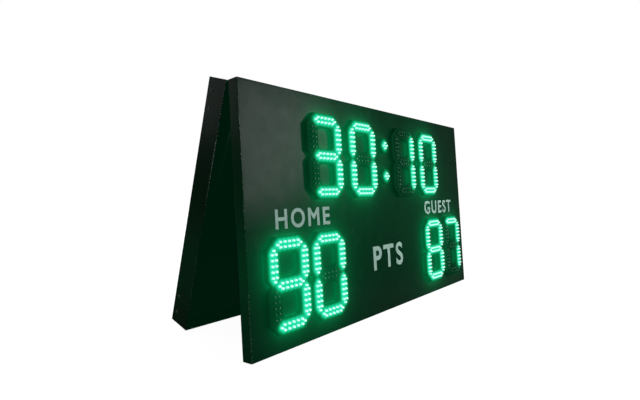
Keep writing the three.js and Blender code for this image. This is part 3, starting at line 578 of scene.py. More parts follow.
def lamp_places(segment):
    """The twelve lamps of a segment: two rows of five and one at each tip."""
    across, up = SEGMENTS[segment]
    upright = across != 0
    pitch = 0.0125 if upright else 0.0142
    tip = 0.0338 if upright else 0.0373
    half_row, half_x, half_z = 0.00575, 0.0498, 0.0903
    spots = [(i * pitch, s * half_row) for i in range(-2, 3) for s in (-1, 1)] + [(-tip, 0.0), (tip, 0.0)]
    if upright:
        spots = [(v, u) for u, v in spots]
    return [(across * half_x + u, up * half_z + v) for u, v in spots]


def lit_places():
    places = []
    for x, z, lit in FIGURES.values():
        places += [(x + u, z + v) for segment in lit for u, v in lamp_places(segment)]
    return np.array(places + [(x + u, z + v) for x, z in COLON for u, v in COLON_LAMPS])


def spread_glow(bm, side_share):
    """Stores the light of the lit lamps at each corner, less on faces that look aside, before the lean."""
    layer = bm.loops.layers.float.new("glow")
    bm.normal_update()
    bm.verts.index_update()
    points = np.array([(v.co.x, v.co.z) for v in bm.verts])
    lamps = lit_places()
    total = np.zeros(len(points))
    level, radius = LIGHT_SPOT
    batch = 4000
    for start in range(0, len(points), batch):
        part = points[start:start + batch]
        gap = np.linalg.norm(part[:, None, :] - lamps[None, :, :], axis=2)
        light = level * np.exp(-(gap / radius) ** 2)
        for share, reach in LIGHT_TAILS:
            light += share * np.exp(-gap / reach)
        total[start:start + batch] = light.sum(axis=1)
    stored = 1.0 - np.exp(-total)
    for face in bm.faces:
        share = max(side_share, -face.normal.y)
        for loop in face.loops:
            loop[layer] = float(stored[loop.vert.index]) * share


def side_planes(points):
    """A point and the outward direction of each side of an outline that runs anticlockwise."""
    for (x0, z0), (x1, z1) in zip(points, points[1:] + points[:1]):
        yield Vector((x0, 0, z0)), Vector((z1 - z0, 0, x0 - x1)).normalized()


def cut_outline(bm, points):
    """Cuts the flat mesh back to a convex outline in X and Z."""
    for place, outward in side_planes(points):
        cut(bm, place, outward, clear=True)


def cut_window(bm, points):
    """Cuts a convex opening into the flat mesh."""
    for place, outward in side_planes(points):
        cut(bm, place, outward, [f for f in bm.faces if touches(f, points)])
    opened = []
    for face in bm.faces:
        middle = face.calc_center_median()
        if all((middle - place).dot(outward) < 0 for place, outward in side_planes(points)):
            opened.append(face)
    bmesh.ops.delete(bm, geom=opened, context="FACES")


def touches(face, points):
    """Whether the box round a face meets the box round some points."""
    for axis, values in ((0, [x for x, z in points]), (2, [z for x, z in points])):
        own = [v.co[axis] for v in face.verts]
        if max(own) <= min(values) or min(own) >= max(values):
            return False
    return True


def chamfered(half_x, half_z, chamfer, centre_z=0.0):
    """An upright rectangle with cut corners."""
    in_x, in_z = half_x - chamfer, half_z - chamfer
    points = [
        (half_x, -in_z), (half_x, in_z), (in_x, half_z), (-in_x, half_z),
        (-half_x, in_z), (-half_x, -in_z), (-in_x, -half_z), (in_x, -half_z)]
    return [(x, centre_z + z) for x, z in points]


def stand_out(bm, face_y, radius):
    """Makes the flat mesh a slab from just before the sheet to face_y, with its front edges rounded."""
    bmesh.ops.remove_doubles(bm, verts=bm.verts, dist=2e-6)
    for vert in bm.verts:
        vert.co.y = 0.0
    back = set(pull_faces(bm, bm.faces[:], (0, -CLEAR, 0)))
    bmesh.ops.translate(bm, verts=[v for v in bm.verts if v not in back], vec=(0, face_y, 0))
    bmesh.ops.recalc_face_normals(bm, faces=bm.faces)
    rim = [e for e in sharp_edges(bm) if all(abs(v.co.y - face_y) < 1e-7 for v in e.verts)]
    round_edges(bm, rim, radius, 2)
    return as_mesh(bm, "housing")


def eight_housing(rise, radius):
    """Housing of a figure: an eight with cut corners, a pinched waist and two windows."""
    half_x, half_z, corner, notch, cell = 0.07055, 0.10805, 0.028, 0.013, 0.0036
    in_x, in_z = half_x - corner, half_z - corner
    bm = upright_cells(2 * half_x, 0.0, half_z, cell)
    cut_outline(bm, [
        (half_x - notch, 0.0), (half_x, notch), (half_x, in_z), (in_x, half_z),
        (-in_x, half_z), (-half_x, in_z), (-half_x, notch), (notch - half_x, 0.0)])
    cut_window(bm, chamfered(0.02905, 0.0274, 0.009, 0.04515))
    bmesh.ops.mirror(bm, geom=bm.verts[:] + bm.edges[:] + bm.faces[:], axis="Z", merge_dist=2e-6)
    bmesh.ops.recalc_face_normals(bm, faces=bm.faces)
    face_forward(bm, flatness)
    return stand_out(bm, -rise, radius)


def colon_housing(rise, radius):
    half, corner, cell = 0.023, 0.013, 0.0046
    bm = upright_cells(2 * half, -half, half, cell)
    cut_outline(bm, chamfered(half, half, corner))
    return stand_out(bm, -rise, radius)


def lamp_shape(radius, rise, sides):
    """One lamp with a straight body and a domed tip, standing out along -Y; its tip shines most when lit and
    carries a painted highlight when dark.
    """
    bm = turned([(radius, 0.0), (radius, -0.58 * rise), (0.88 * radius, -0.80 * rise),
                 (0.52 * radius, -0.95 * rise), (0.0, -rise)], sides)
    core = bm.verts.layers.float.new("core")
    for vert in bm.verts:
        vert[core] = np.interp(-vert.co.y / rise, (0.0, 0.58, 0.80, 0.95), (0.1, 0.45, 0.9, 1.0))
    face_forward(bm, lambda f: -f.calc_center_median().y)
    return as_mesh(bm, "lamp")


def add_copies(bm, mesh, places, y, slot_index=0):
    """Adds a copy of a mesh at each place in X and Z."""
    for x, z in places:
        verts, faces = len(bm.verts), len(bm.faces)
        bm.from_mesh(mesh)
        bm.verts.ensure_lookup_table()
        bm.faces.ensure_lookup_table()
        bmesh.ops.translate(bm, verts=bm.verts[verts:], vec=(x, y, z))
        for face in bm.faces[faces:]:
            face.material_index = slot_index


def join(bm, part, matrix=None, slot_index=0):
    """Adds a finished part, moved by a matrix, to a mesh in the making."""
    if matrix is not None:
        part.transform(matrix)
    for face in part.faces:
        face.material_index = slot_index
    mesh = as_mesh(part, "part")
    bm.from_mesh(mesh)
    bpy.data.meshes.remove(mesh)


def turned(profile, sides, closed=False):
    """Turns a profile of radius and level about the Y axis; a closed profile makes a ring."""
    bm = bmesh.new()
    chain = [bm.verts.new((radius, level, 0)) for radius, level in profile]
    ends = chain[1:] + chain[:1] if closed else chain[1:]
    edges = [bm.edges.new(pair) for pair in zip(chain, ends)]
    bmesh.ops.spin(
        bm, geom=chain + edges, cent=(0, 0, 0), axis=(0, 1, 0), angle=2 * math.pi, steps=sides,
        use_merge=True)
    bmesh.ops.remove_doubles(bm, verts=bm.verts, dist=1e-6)
    bmesh.ops.recalc_face_normals(bm, faces=bm.faces)
    return bm


def fill_rings(bm, rings, y=0.0):
    """Fills the space between an outline and its holes, and returns the outline's edges."""
    loops = []
    for ring in rings:
        verts = [bm.verts.new((x, y, z)) for x, z in ring]
        loops.append([bm.edges.new(pair) for pair in zip(verts, verts[1:] + verts[:1])])
    bmesh.ops.triangle_fill(bm, use_beauty=True, use_dissolve=True, edges=sum(loops, []))
    return loops[0]


def plate(outline, thickness, holes=(), radius=0.0):
    """A flat plate in X and Z that reaches from y = 0 to -thickness, with its edges rounded."""
    bm = bmesh.new()
    fill_rings(bm, (outline, *holes))
    pull_faces(bm, bm.faces[:], (0, -thickness, 0))
    bmesh.ops.recalc_face_normals(bm, faces=bm.faces)
    if radius > 0:
        rims = [e for e in sharp_edges(bm, 70.0) if abs(e.verts[0].co.y - e.verts[1].co.y) < 1e-7]
        round_edges(bm, rims, radius, 2)
    return bm


def rounded_box(low, high, radius, steps=2):
    bm = bmesh.new()
    bmesh.ops.create_cube(bm, size=1.0)
    low, high = Vector(low), Vector(high)
    place = Matrix.Translation((high + low) / 2) @ Matrix.Diagonal((*(high - low), 1))
    bmesh.ops.transform(bm, matrix=place, verts=bm.verts)
    round_edges(bm, bm.edges[:], radius, steps)
    return bm


def arc(across, up, radius, start, end, steps):
    """Points on an arc, its angles in degrees."""
    turns = [math.radians(start + (end - start) * i / steps) for i in range(steps + 1)]
    return [(across + radius * math.cos(t), up + radius * math.sin(t)) for t in turns]


def rounded_rectangle(half_x, half_z, radius, centre_z=0.0, steps=4):
    points = []
    for across, up, start in ((1, -1, -90), (1, 1, 0), (-1, 1, 90), (-1, -1, 180)):
        middle = (across * (half_x - radius), centre_z + up * (half_z - radius))
        points += arc(*middle, radius, start, start + 90, steps)
    return points


def pan_screw(radius, rise, sides=12):
    """A pan-head screw that stands out along -Y, with a cross recess in its head."""
    shank, tip = 0.55 * radius, 0.003
    bm = turned([
        (0, -rise), (0.25 * radius, -rise), (0.62 * radius, -0.94 * rise), (0.88 * radius, -0.68 * rise),
        (radius, -0.3 * rise), (radius, 0.0), (shank, 0.0), (shank, tip), (0, tip)], sides)
    recess = []
    for face in bm.faces:
        middle = face.calc_center_median()
        reach = math.hypot(middle.x, middle.z)
        turn = math.degrees(math.atan2(middle.z, middle.x)) % 90.0
        crossed = reach < 0.22 * radius or (reach < 0.6 * radius and turn < 30.0)
        if middle.y < -0.9 * rise and crossed:
            recess.append(face)
    pull_faces(bm, recess, (0, 0.6 * rise, 0))
    bmesh.ops.recalc_face_normals(bm, faces=bm.faces)
    return bm


def from_curve(curve, merge):
    """The mesh of a curve or a text, with its nearby points merged."""
    holder = bpy.data.objects.new("curve", curve)
    bpy.context.scene.collection.objects.link(holder)
    bpy.context.view_layer.update()
    shape = holder.evaluated_get(bpy.context.evaluated_depsgraph_get())
    mesh = bpy.data.meshes.new_from_object(shape)
    bpy.data.objects.remove(holder)
    bm = bmesh.new()
    bm.from_mesh(mesh)
    bpy.data.meshes.remove(mesh)
    bmesh.ops.remove_doubles(bm, verts=bm.verts, dist=merge)
    return bm


def tube_mesh(points, radius, sides=12):
    """A round tube along points, closed at both ends."""
    curve = bpy.data.curves.new("run", "CURVE")
    curve.dimensions = "3D"
    curve.bevel_depth = radius
    curve.bevel_resolution = sides // 4
    curve.use_fill_caps = True
    line = curve.splines.new("POLY")
    line.points.add(len(points) - 1)
    for spot, point in zip(line.points, points):
        spot.co = (*point, 1.0)
    bm = from_curve(curve, 1e-6)
    bmesh.ops.recalc_face_normals(bm, faces=bm.faces)
    return bm


def stiffener_places(cabinet):
    """Where the far cabinet's two stiffeners stand across it."""
    return -cabinet.width / 5.5, cabinet.width / 5.5


class MakeCabinets(bpy.types.Operator):
    """Make both folded cabinets and the far one's stiffeners"""
    bl_idname = "scoreboard.make_cabinets"
    bl_label = "Cabinets"

    # Width of the rim at the open side that carries wear and painted glints
    rim = 0.0020

    def execute(self, context):
        cabinet = context.scene.board_cabinet
        low = TOP - cabinet.height
        parts = {
            "front": (INNER - cabinet.sheet - CLEAR, cabinet.lip, 0.75),
            "rear": (INNER, 0.0, 0.35),
        }
        for side, (open_y, lip, side_share) in parts.items():
            face_y = INNER - depth_of(side)
            bm = folded_pan(
                cabinet.width, low, TOP, face_y, open_y, lip, cabinet.cell, cabinet.fold_radius)
            if side == "rear":
                self.cut_end(bm, -cabinet.width / 2)
                self.mark_rim(bm, open_y - self.rim)
            spread_glow(bm, side_share)
            tray = cabinet_piece(bm, side, f"{side}_cabinet", ["cabinet_paint"], [f"{side}_tray"])
            thicken(tray, cabinet.sheet)
        self.make_stiffeners(cabinet, low)
        return {"FINISHED"}

    def cut_end(self, bm, end_x):
        """Opens the end sheet for the connector dish."""
        low, high = DISH - DISH_HALF, DISH + DISH_HALF
        for axis in (1, 2):
            for level in (low[axis - 1], high[axis - 1]):
                place, normal = Vector(), Vector()
                place[axis] = level
                normal[axis] = 1
                end = [f for f in bm.faces if abs(f.calc_center_median().x - end_x) < 1e-5]
                cut(bm, place, normal, end)
        opened = []
        for face in bm.faces:
            x, y, z = face.calc_center_median()
            if abs(x - end_x) < 1e-5 and low[0] < y < high[0] and low[1] < z < high[1]:
                opened.append(face)
        bmesh.ops.delete(bm, geom=opened, context="FACES")

    def mark_rim(self, bm, level):
        """Marks the open rim of the returns for the wear and painted glints, most near the hinges."""
        cut(bm, (0, level, 0), (0, 1, 0))
        least, lowest, fade = 0.15, -0.34, 0.12
        mark = bm.faces.layers.float.get("edge")
        for face in bm.faces:
            middle = face.calc_center_median()
            if middle.y > level:
                face[mark] = min(1.0, max(least, (middle.z - lowest) / fade))

    def make_stiffeners(self, cabinet, low):
        """The two upright U bars behind the far cabinet's cover."""
        half, deep, sheet = 0.011, 0.009, cabinet.sheet
        web = INNER - cabinet.recess - sheet - CLEAR
        profile = [
            (-half, 0), (-half, -deep), (sheet - half, -deep), (sheet - half, -sheet),
            (half - sheet, -sheet), (half - sheet, -deep), (half, -deep), (half, 0)]
        bm = bmesh.new()
        for x in stiffener_places(cabinet):
            bar = plate(profile, TOP - low - 2 * sheet, radius=0.0002)
            join(bm, bar, shift(x, web, low + sheet) @ spin(-90, "X"))
        bmesh.ops.recalc_face_normals(bm, faces=bm.faces)
        cabinet_piece(bm, "rear", "rear_stiffeners", ["bare_paint"])


class MakeFigures(bpy.types.Operator):
    """Make the housings and lamps of every figure and colon"""
    bl_idname = "scoreboard.make_figures"
    bl_label = "Figures"

    def execute(self, context):
        sizes = context.scene.board_figures
        eight = eight_housing(sizes.rise, sizes.edge)
        dot = colon_housing(sizes.rise, sizes.edge)
        lamp = lamp_shape(sizes.lamp_radius, sizes.lamp_rise, sizes.lamp_sides)
        for side in CABINETS:
            face_y = INNER - depth_of(side)
            lamp_y = face_y - sizes.rise
            for name, (x, z, lit) in FIGURES.items():
                lamps = bmesh.new()
                for segment in SEGMENTS:
                    places = [(x + u, z + v) for u, v in lamp_places(segment)]
                    add_copies(lamps, lamp, places, lamp_y, 0 if segment in lit else 1)
                node = f"{side}_figure_{name}"
                self.finish(side, node, eight, [(x, z)], face_y, lamps, ["lit_lamp", "dark_lamp"])
            lamps = bmesh.new()
            places = [(x + u, z + v) for x, z in COLON for u, v in COLON_LAMPS]
            add_copies(lamps, lamp, places, lamp_y)
            self.finish(side, f"{side}_colon", dot, COLON, face_y, lamps, ["lit_lamp"])
        return {"FINISHED"}

    def finish(self, side, node, housing, places, face_y, lamps, lamp_kinds):
        """A node's housing and its lamps, lit by all lamps of the face."""
        shell = bmesh.new()
        add_copies(shell, housing, places, face_y)
        spread_glow(shell, 0.85)
        cabinet_piece(shell, side, f"{node}_housing", ["housing_plastic"], [node])
        spread_glow(lamps, 0.95)
        cabinet_piece(lamps, side, f"{node}_lamps", lamp_kinds)


class MakeCovers(bpy.types.Operator):
    """Make the near cabinet's flat cover and the far cabinet's recessed one, with their screws"""
    bl_idname = "scoreboard.make_covers"
    bl_label = "Covers"

    def execute(self, context):
        cabinet = context.scene.board_cabinet
        low = TOP - cabinet.height
        middle = (low + TOP) / 2
        shares = (-1, -1 / 3, 1 / 3, 1)
        inset = 2 * CLEAR
        half = cabinet.width / 2 - inset
        bm = rounded_box(
            (-half, INNER - cabinet.sheet, low + inset), (half, INNER, TOP - inset), 0.0003)
        margin = 0.008
        edge_x, edge_z = cabinet.width / 2 - margin, cabinet.height / 2 - margin
        places = [(share * edge_x, middle + up * edge_z) for up in (-1, 1) for share in shares]
        self.add_screws(context, bm, places + [(-edge_x, middle), (edge_x, middle)], INNER)
        cabinet_piece(bm, "front", "front_cover_plate", ["bare_paint"], ["front_cover"])

        face = INNER - cabinet.recess
        gap = cabinet.sheet + CLEAR
        cell = 0.3
        pan = folded_pan(
            cabinet.width - 2 * gap, low + gap, TOP - gap, face - cabinet.sheet, INNER, 0.0, cell,
            cabinet.fold_radius)
        cover = cabinet_piece(pan, "rear", "rear_cover_pan", ["bare_paint"], ["rear_cover"])
        thicken(cover, cabinet.sheet)
        margin = 0.023
        levels = [middle + share * (cabinet.height / 2 - margin) for share in shares]
        bm = bmesh.new()
        self.add_screws(context, bm, [(x, z) for x in stiffener_places(cabinet) for z in levels], face)
        cabinet_piece(bm, "rear", "rear_cover_screws", ["bare_paint"])
        return {"FINISHED"}

    def add_screws(self, context, bm, places, face_y):
        sizes = context.scene.board_hardware
        for x, z in places:
            join(bm, pan_screw(sizes.screw_radius, sizes.screw_rise), shift(x, face_y, z) @ spin(180, "X"))


class MakeHinges(bpy.types.Operator):
    """Make the three hinges: two leaves with rolled knuckles, a pin and six screws each"""
    bl_idname = "scoreboard.make_hinges"
    bl_label = "Hinges"

    thick = 0.0015
    root = -0.0043

    def execute(self, context):
        sizes = context.scene.board_hardware
        offset = context.scene.board_cabinet.width / 4
        for place, x in {"left": -offset, "middle": 0.0, "right": offset}.items():
            for side, turns in {"front": (-2, 0, 2), "rear": (-1, 1)}.items():
                bm = self.leaf(sizes, turns, side == "front")
                bm.transform(shift(x if side == "front" else -x, 0, 0))
                node = f"hinge_{side}_leaf_{place}"
                cabinet_piece(bm, side, f"{node}_rolled", ["zinc"], [node])
        return {"FINISHED"}

    def leaf(self, sizes, turns, with_pin):
        half, low = sizes.hinge_length / 2, -sizes.knuckle
        corner, gap = 0.004, 0.00025
        bm = bmesh.new()
        right = [(half, 0.0), *arc(half - corner, -0.0157, corner, 0, -90, 4)]
        outline = right + [(-x, z) for x, z in right[::-1]]
        join(bm, plate(outline, self.thick, radius=0.0003), shift(0, self.root, low) @ spin(-90, "X"))
        pitch = sizes.hinge_length / 5
        for turn in turns:
            join(bm, self.knuckle(sizes.knuckle, (turn - 0.5) * pitch + gap, pitch - 2 * gap))
        for x in (-0.024, 0.0, 0.024):
            stand = shift(x, -0.014, low + self.thick) @ spin(-90, "X")
            join(bm, pan_screw(sizes.screw_radius, sizes.screw_rise), stand)
        if with_pin:
            join(bm, self.pin(half), spin(-90, "Z"))
        return bm

    def pin(self, half):
        """A pin with a head at each end."""
        shaft, head, flat, chamfer, inside = 0.0015, 0.0026, 0.0018, 0.0006, 0.0005
        tip = half + 0.0012
        near = [(0, -tip), (flat, -tip), (head, chamfer - tip), (head, inside - half), (shaft, inside - half)]
        return turned(near + [(radius, -level) for radius, level in near[::-1]], 16)

    def knuckle(self, radius, start, width):
        """A strip that runs in under the pin and is rolled round it."""
        bm = bmesh.new()
        levels = (-radius, self.thick - radius)
        edge = bm.edges.new([bm.verts.new((start, self.root, z)) for z in levels])
        far, rolled = pull_edges(bm, [edge], (0, -self.root, 0))
        bmesh.ops.spin(
            bm, geom=far + rolled, cent=(0, 0, 0), axis=(1, 0, 0), angle=math.radians(305), steps=16)
        bmesh.ops.remove_doubles(bm, verts=bm.verts, dist=1e-7)
        pull_faces(bm, bm.faces[:], (width, 0, 0))
        bmesh.ops.recalc_face_normals(bm, faces=bm.faces)
        return bm


class MakeStays(bpy.types.Operator):
    """Make the slotted stays, their brackets and the studs that run in their slots"""
    bl_idname = "scoreboard.make_stays"
    bl_label = "Stays"

    thick = 0.002
    # How far the stays stand inside the cabinets' ends
    inset = 0.017

    def execute(self, context):
        half = context.scene.board_hardware.stay_width / 2
        end = context.scene.board_cabinet.width / 2 - self.inset
        slot_top, slot_end, slot_half, bore_radius, swing = -0.1595, -0.1665, 0.004, 0.0033, 32.13
        outline = arc(0, 0, half, 0, 180, 10) + arc(0, slot_end, half, 180, 360, 10)
        slot = arc(0, slot_top, slot_half, 0, 180, 8) + arc(0, slot_end, slot_half, 180, 360, 8)
        bore = arc(0, 0, bore_radius, 0, 330, 11)
        for place, side in ENDS.items():
            x = side * end
            arm = plate(outline, self.thick, [bore, slot], 0.0004)
            hang = FRONT @ shift(x, *PIVOT) @ spin(swing, "X") @ shift(-self.thick / 2, 0, 0) @ spin(90, "Z")
            node = f"stay_arm_{place}"
            make_piece(arm, f"{node}_plate", f"stay_{place}", ["bare_paint"], [node], hang)
            node = f"stay_bracket_{place}"
            cabinet_piece(self.bracket(side, x), "front", f"{node}_bent", ["bare_paint"], [node])
        bm = bmesh.new()
        for side in ENDS.values():
            join(bm, self.stud(), shift(side * end, *STUD) @ spin(side * 90, "Z"))
        cabinet_piece(bm, "rear", "slot_studs", ["bare_paint"])
        return {"FINISHED"}

    def bracket(self, side, x):
        """A seat on the cover and an ear, with the riveted pin that the stay turns on."""
        depth, level = PIVOT
        near = x - side * 0.0013
        far = near - side * self.thick
        seat_end = near - side * 0.016
        base, seat, half = -0.0017, 0.0014, 0.017
        low, high = level - half, level + half
        bm = rounded_box(
            (min(near, seat_end), base, low), (max(near, seat_end), base + seat, high), 0.0006)
        shoulder = base + 0.003
        ear = [(base, low), (shoulder, low), *arc(depth, level, 0.006, -70, 70, 8), (shoulder, high),
               (base, high)]
        join(bm, plate(ear, self.thick, radius=0.0004), shift(min(near, far), 0, 0) @ spin(90, "Z"))
        for z in (level - 0.011, level + 0.011):
            rivet = turned([(0, -0.0009), (0.0013, -0.0008), (0.0022, -0.0004), (0.0024, 0), (0, 0)], 12)
            join(bm, rivet, shift(near - side * 0.010, base + seat, z) @ spin(180, "X"))
        pin = turned([
            (0, -0.0027), (0.003, -0.0026), (0.0044, -0.0021), (0.005, -0.0013), (0.003, -0.0013),
            (0.003, 0.0033), (0.005, 0.0033), (0.0044, 0.0041), (0.003, 0.0046), (0, 0.0047)], 16)
        join(bm, pin, shift(x, *PIVOT) @ spin(side * 90, "Z"))
        return bm

    def stud(self):
        return turned([
            (0, -0.0149), (0.005, -0.0149), (0.005, -0.0016), (0.0046, -0.0013), (0.003, -0.0013),
            (0.003, 0.0013), (0.005, 0.0013), (0.005, 0.0022), (0.0044, 0.0027), (0, 0.0027)], 16)


class MakeCornerBrackets(bpy.types.Operator):
    """Make the far cabinet's corner brackets and the screws seen on its ends"""
    bl_idname = "scoreboard.make_corner_brackets"
    bl_label = "Corner brackets"

    def execute(self, context):
        cabinet = context.scene.board_cabinet
        sizes = context.scene.board_hardware
        gap = cabinet.sheet + CLEAR
        end = cabinet.width / 2
        short, tall, thick, wide, middle = 0.04, 0.076, 0.002, 0.02, -0.047
        profile = [
            (0.0, 0.0), (short, 0.0), (short, thick), (0.004, thick), (0.0026, 0.0026), (thick, 0.004),
            (thick, tall), (0.0, tall)]
        rows = {"upper": (TOP - gap, -1), "lower": (TOP - cabinet.height + gap, 1)}
        for row, (corner, down) in rows.items():
            for place, across in ENDS.items():
                outline = [(across * (end - gap - u), corner + down * v) for u, v in profile]
                bm = plate(outline, wide, radius=0.0004)
                bmesh.ops.translate(bm, verts=bm.verts, vec=(0, middle + wide / 2, 0))
                for drop in (0.0277, 0.0687):
                    screw = pan_screw(sizes.end_screw_radius, sizes.end_screw_rise, 16)
                    seat = shift(across * (end + CLEAR), middle, corner + down * drop)
                    join(bm, screw, seat @ spin(across * 90, "Z"), 1)
                node = f"corner_bracket_{row}_{place}"
                cabinet_piece(bm, "rear", f"{node}_bent", ["zinc", "dark_nickel"], [node])
        return {"FINISHED"}


class MakeRubber(bpy.types.Operator):
    """Make the feet, the bumpers and the grommets of the lead"""
    bl_idname = "scoreboard.make_rubber"
    bl_label = "Rubber parts"

    # Where a foot starts and ends, across from the middle
    foot_ends = (0.27, 0.36)
    foot_length = 0.09

    def execute(self, context):
        cabinet = context.scene.board_cabinet
        low = TOP - cabinet.height
        for side in CABINETS:
            for place, across in ENDS.items():
                foot = self.foot(low - CLEAR, depth_of(side) / 2)
                foot.transform(shift(min(across * end for end in self.foot_ends), 0, 0) @ spin(90, "Z"))
                self.finish(foot, side, f"{side}_foot_{place}")
        for place, across in ENDS.items():
            x = across * (cabinet.width / 2 - 0.06)
            bumper = rounded_box(
                (x - 0.012, INNER + CLEAR, low + 0.001), (x + 0.012, INNER + 0.008, low + 0.013), 0.002, 3)
            self.finish(bumper, "front", f"bumper_{place}")
        for side, (level, outer) in MakeLead.holes(cabinet.recess).items():
            ring = self.grommet(outer - cabinet.sheet, outer)
            bmesh.ops.translate(ring, verts=ring.verts, vec=(-MakeLead.across, 0, level))
            self.finish(ring, side, f"{side}_grommet")
        return {"FINISHED"}

    def foot(self, upper, depth):
        """A strip whose sole lies flat on the floor when the cabinet leans."""
        near = INNER - 0.0015
        far = near - depth
        sole = upper - 0.0025
        lift = (far - near) * math.tan(math.radians(LEAN))
        outline = [(far, upper), (far, sole + lift), (near, sole), (near, upper)]
        bm = plate(outline, self.foot_length)
        round_edges(bm, bm.edges[:], 0.0007, 2)
        return bm

    def grommet(self, inner, outer):
        """A ring that holds the sheet from inner to outer in its groove."""
        bore, neck, flange = 0.0033, 0.0057, 0.009
        return turned([
            (bore, inner - 0.0018), (0.0082, inner - 0.0018), (flange, inner - 0.0011),
            (flange, inner - CLEAR), (neck, inner - CLEAR), (neck, outer + CLEAR),
            (flange, outer + CLEAR), (flange, outer + 0.0009), (0.0084, outer + 0.0015),
            (0.0072, outer + 0.0018), (0.0036, outer + 0.0018), (bore, outer + 0.0015)], 20, True)

    def finish(self, bm, side, node):
        cabinet_piece(bm, side, f"{node}_moulded", ["rubber"], [node])


class MakeLead(bpy.types.Operator):
    """Make the lead that runs from one cabinet to the other under the hinges"""
    bl_idname = "scoreboard.make_lead"
    bl_label = "Lead"

    # Where the lead runs: across from the middle, off the near cabinet, and below the fold
    across, reach, drop = 0.06, 0.017, 0.04
    bend = 0.014

    @classmethod
    def rear_run(cls):
        """The lead's place below the near cabinet, as depth and level in the far one."""
        far = math.hypot(cls.reach, cls.drop)
        turn = math.atan2(cls.reach, cls.drop) - 2 * math.radians(LEAN)
        return -far * math.sin(turn), -far * math.cos(turn)

    @classmethod
    def holes(cls, recess):
        """Level and depth of the hole in each cabinet's cover."""
        return {"front": (-cls.drop, INNER), "rear": (cls.rear_run()[1], INNER - recess)}

    def execute(self, context):
        radius = context.scene.board_hardware.lead_radius
        (front_z, front_y), (rear_z, rear_y) = self.holes(context.scene.board_cabinet.recess).values()
        front_run = self.entry(FRONT, self.reach, front_z, front_y)
        rear_run = self.entry(REAR, self.rear_run()[0], rear_z, rear_y)
        start, end = front_run[-1], rear_run[-1]
        middle = []
        for step in range(1, 12):
            share = step / 12
            sag = 0.004 * math.sin(math.pi * share) ** 2
            middle.append(start.lerp(end, share) - Vector((0, 0, sag)))
        path = front_run + middle + rear_run[::-1]
        nodes = ["link_lead_front", "link_lead_rear"]
        lead = make_piece(tube_mesh(path, radius), "link_lead", None, ["sheath"], nodes)
        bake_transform(lead)
        return {"FINISHED"}

    def entry(self, matrix, run_y, level, cover_y):
        """From a grommet straight out of the cover and round the bend, in the whole object's coordinates."""
        x, y = -self.across, run_y - self.bend
        points = [(x, cover_y - 0.0008), (x, (cover_y + y) / 2)]
        points += [(x + self.bend + u, y + v) for u, v in arc(0, 0, self.bend, 180, 90, 8)]
        return [matrix @ Vector((u, v, level)) for u, v in points]


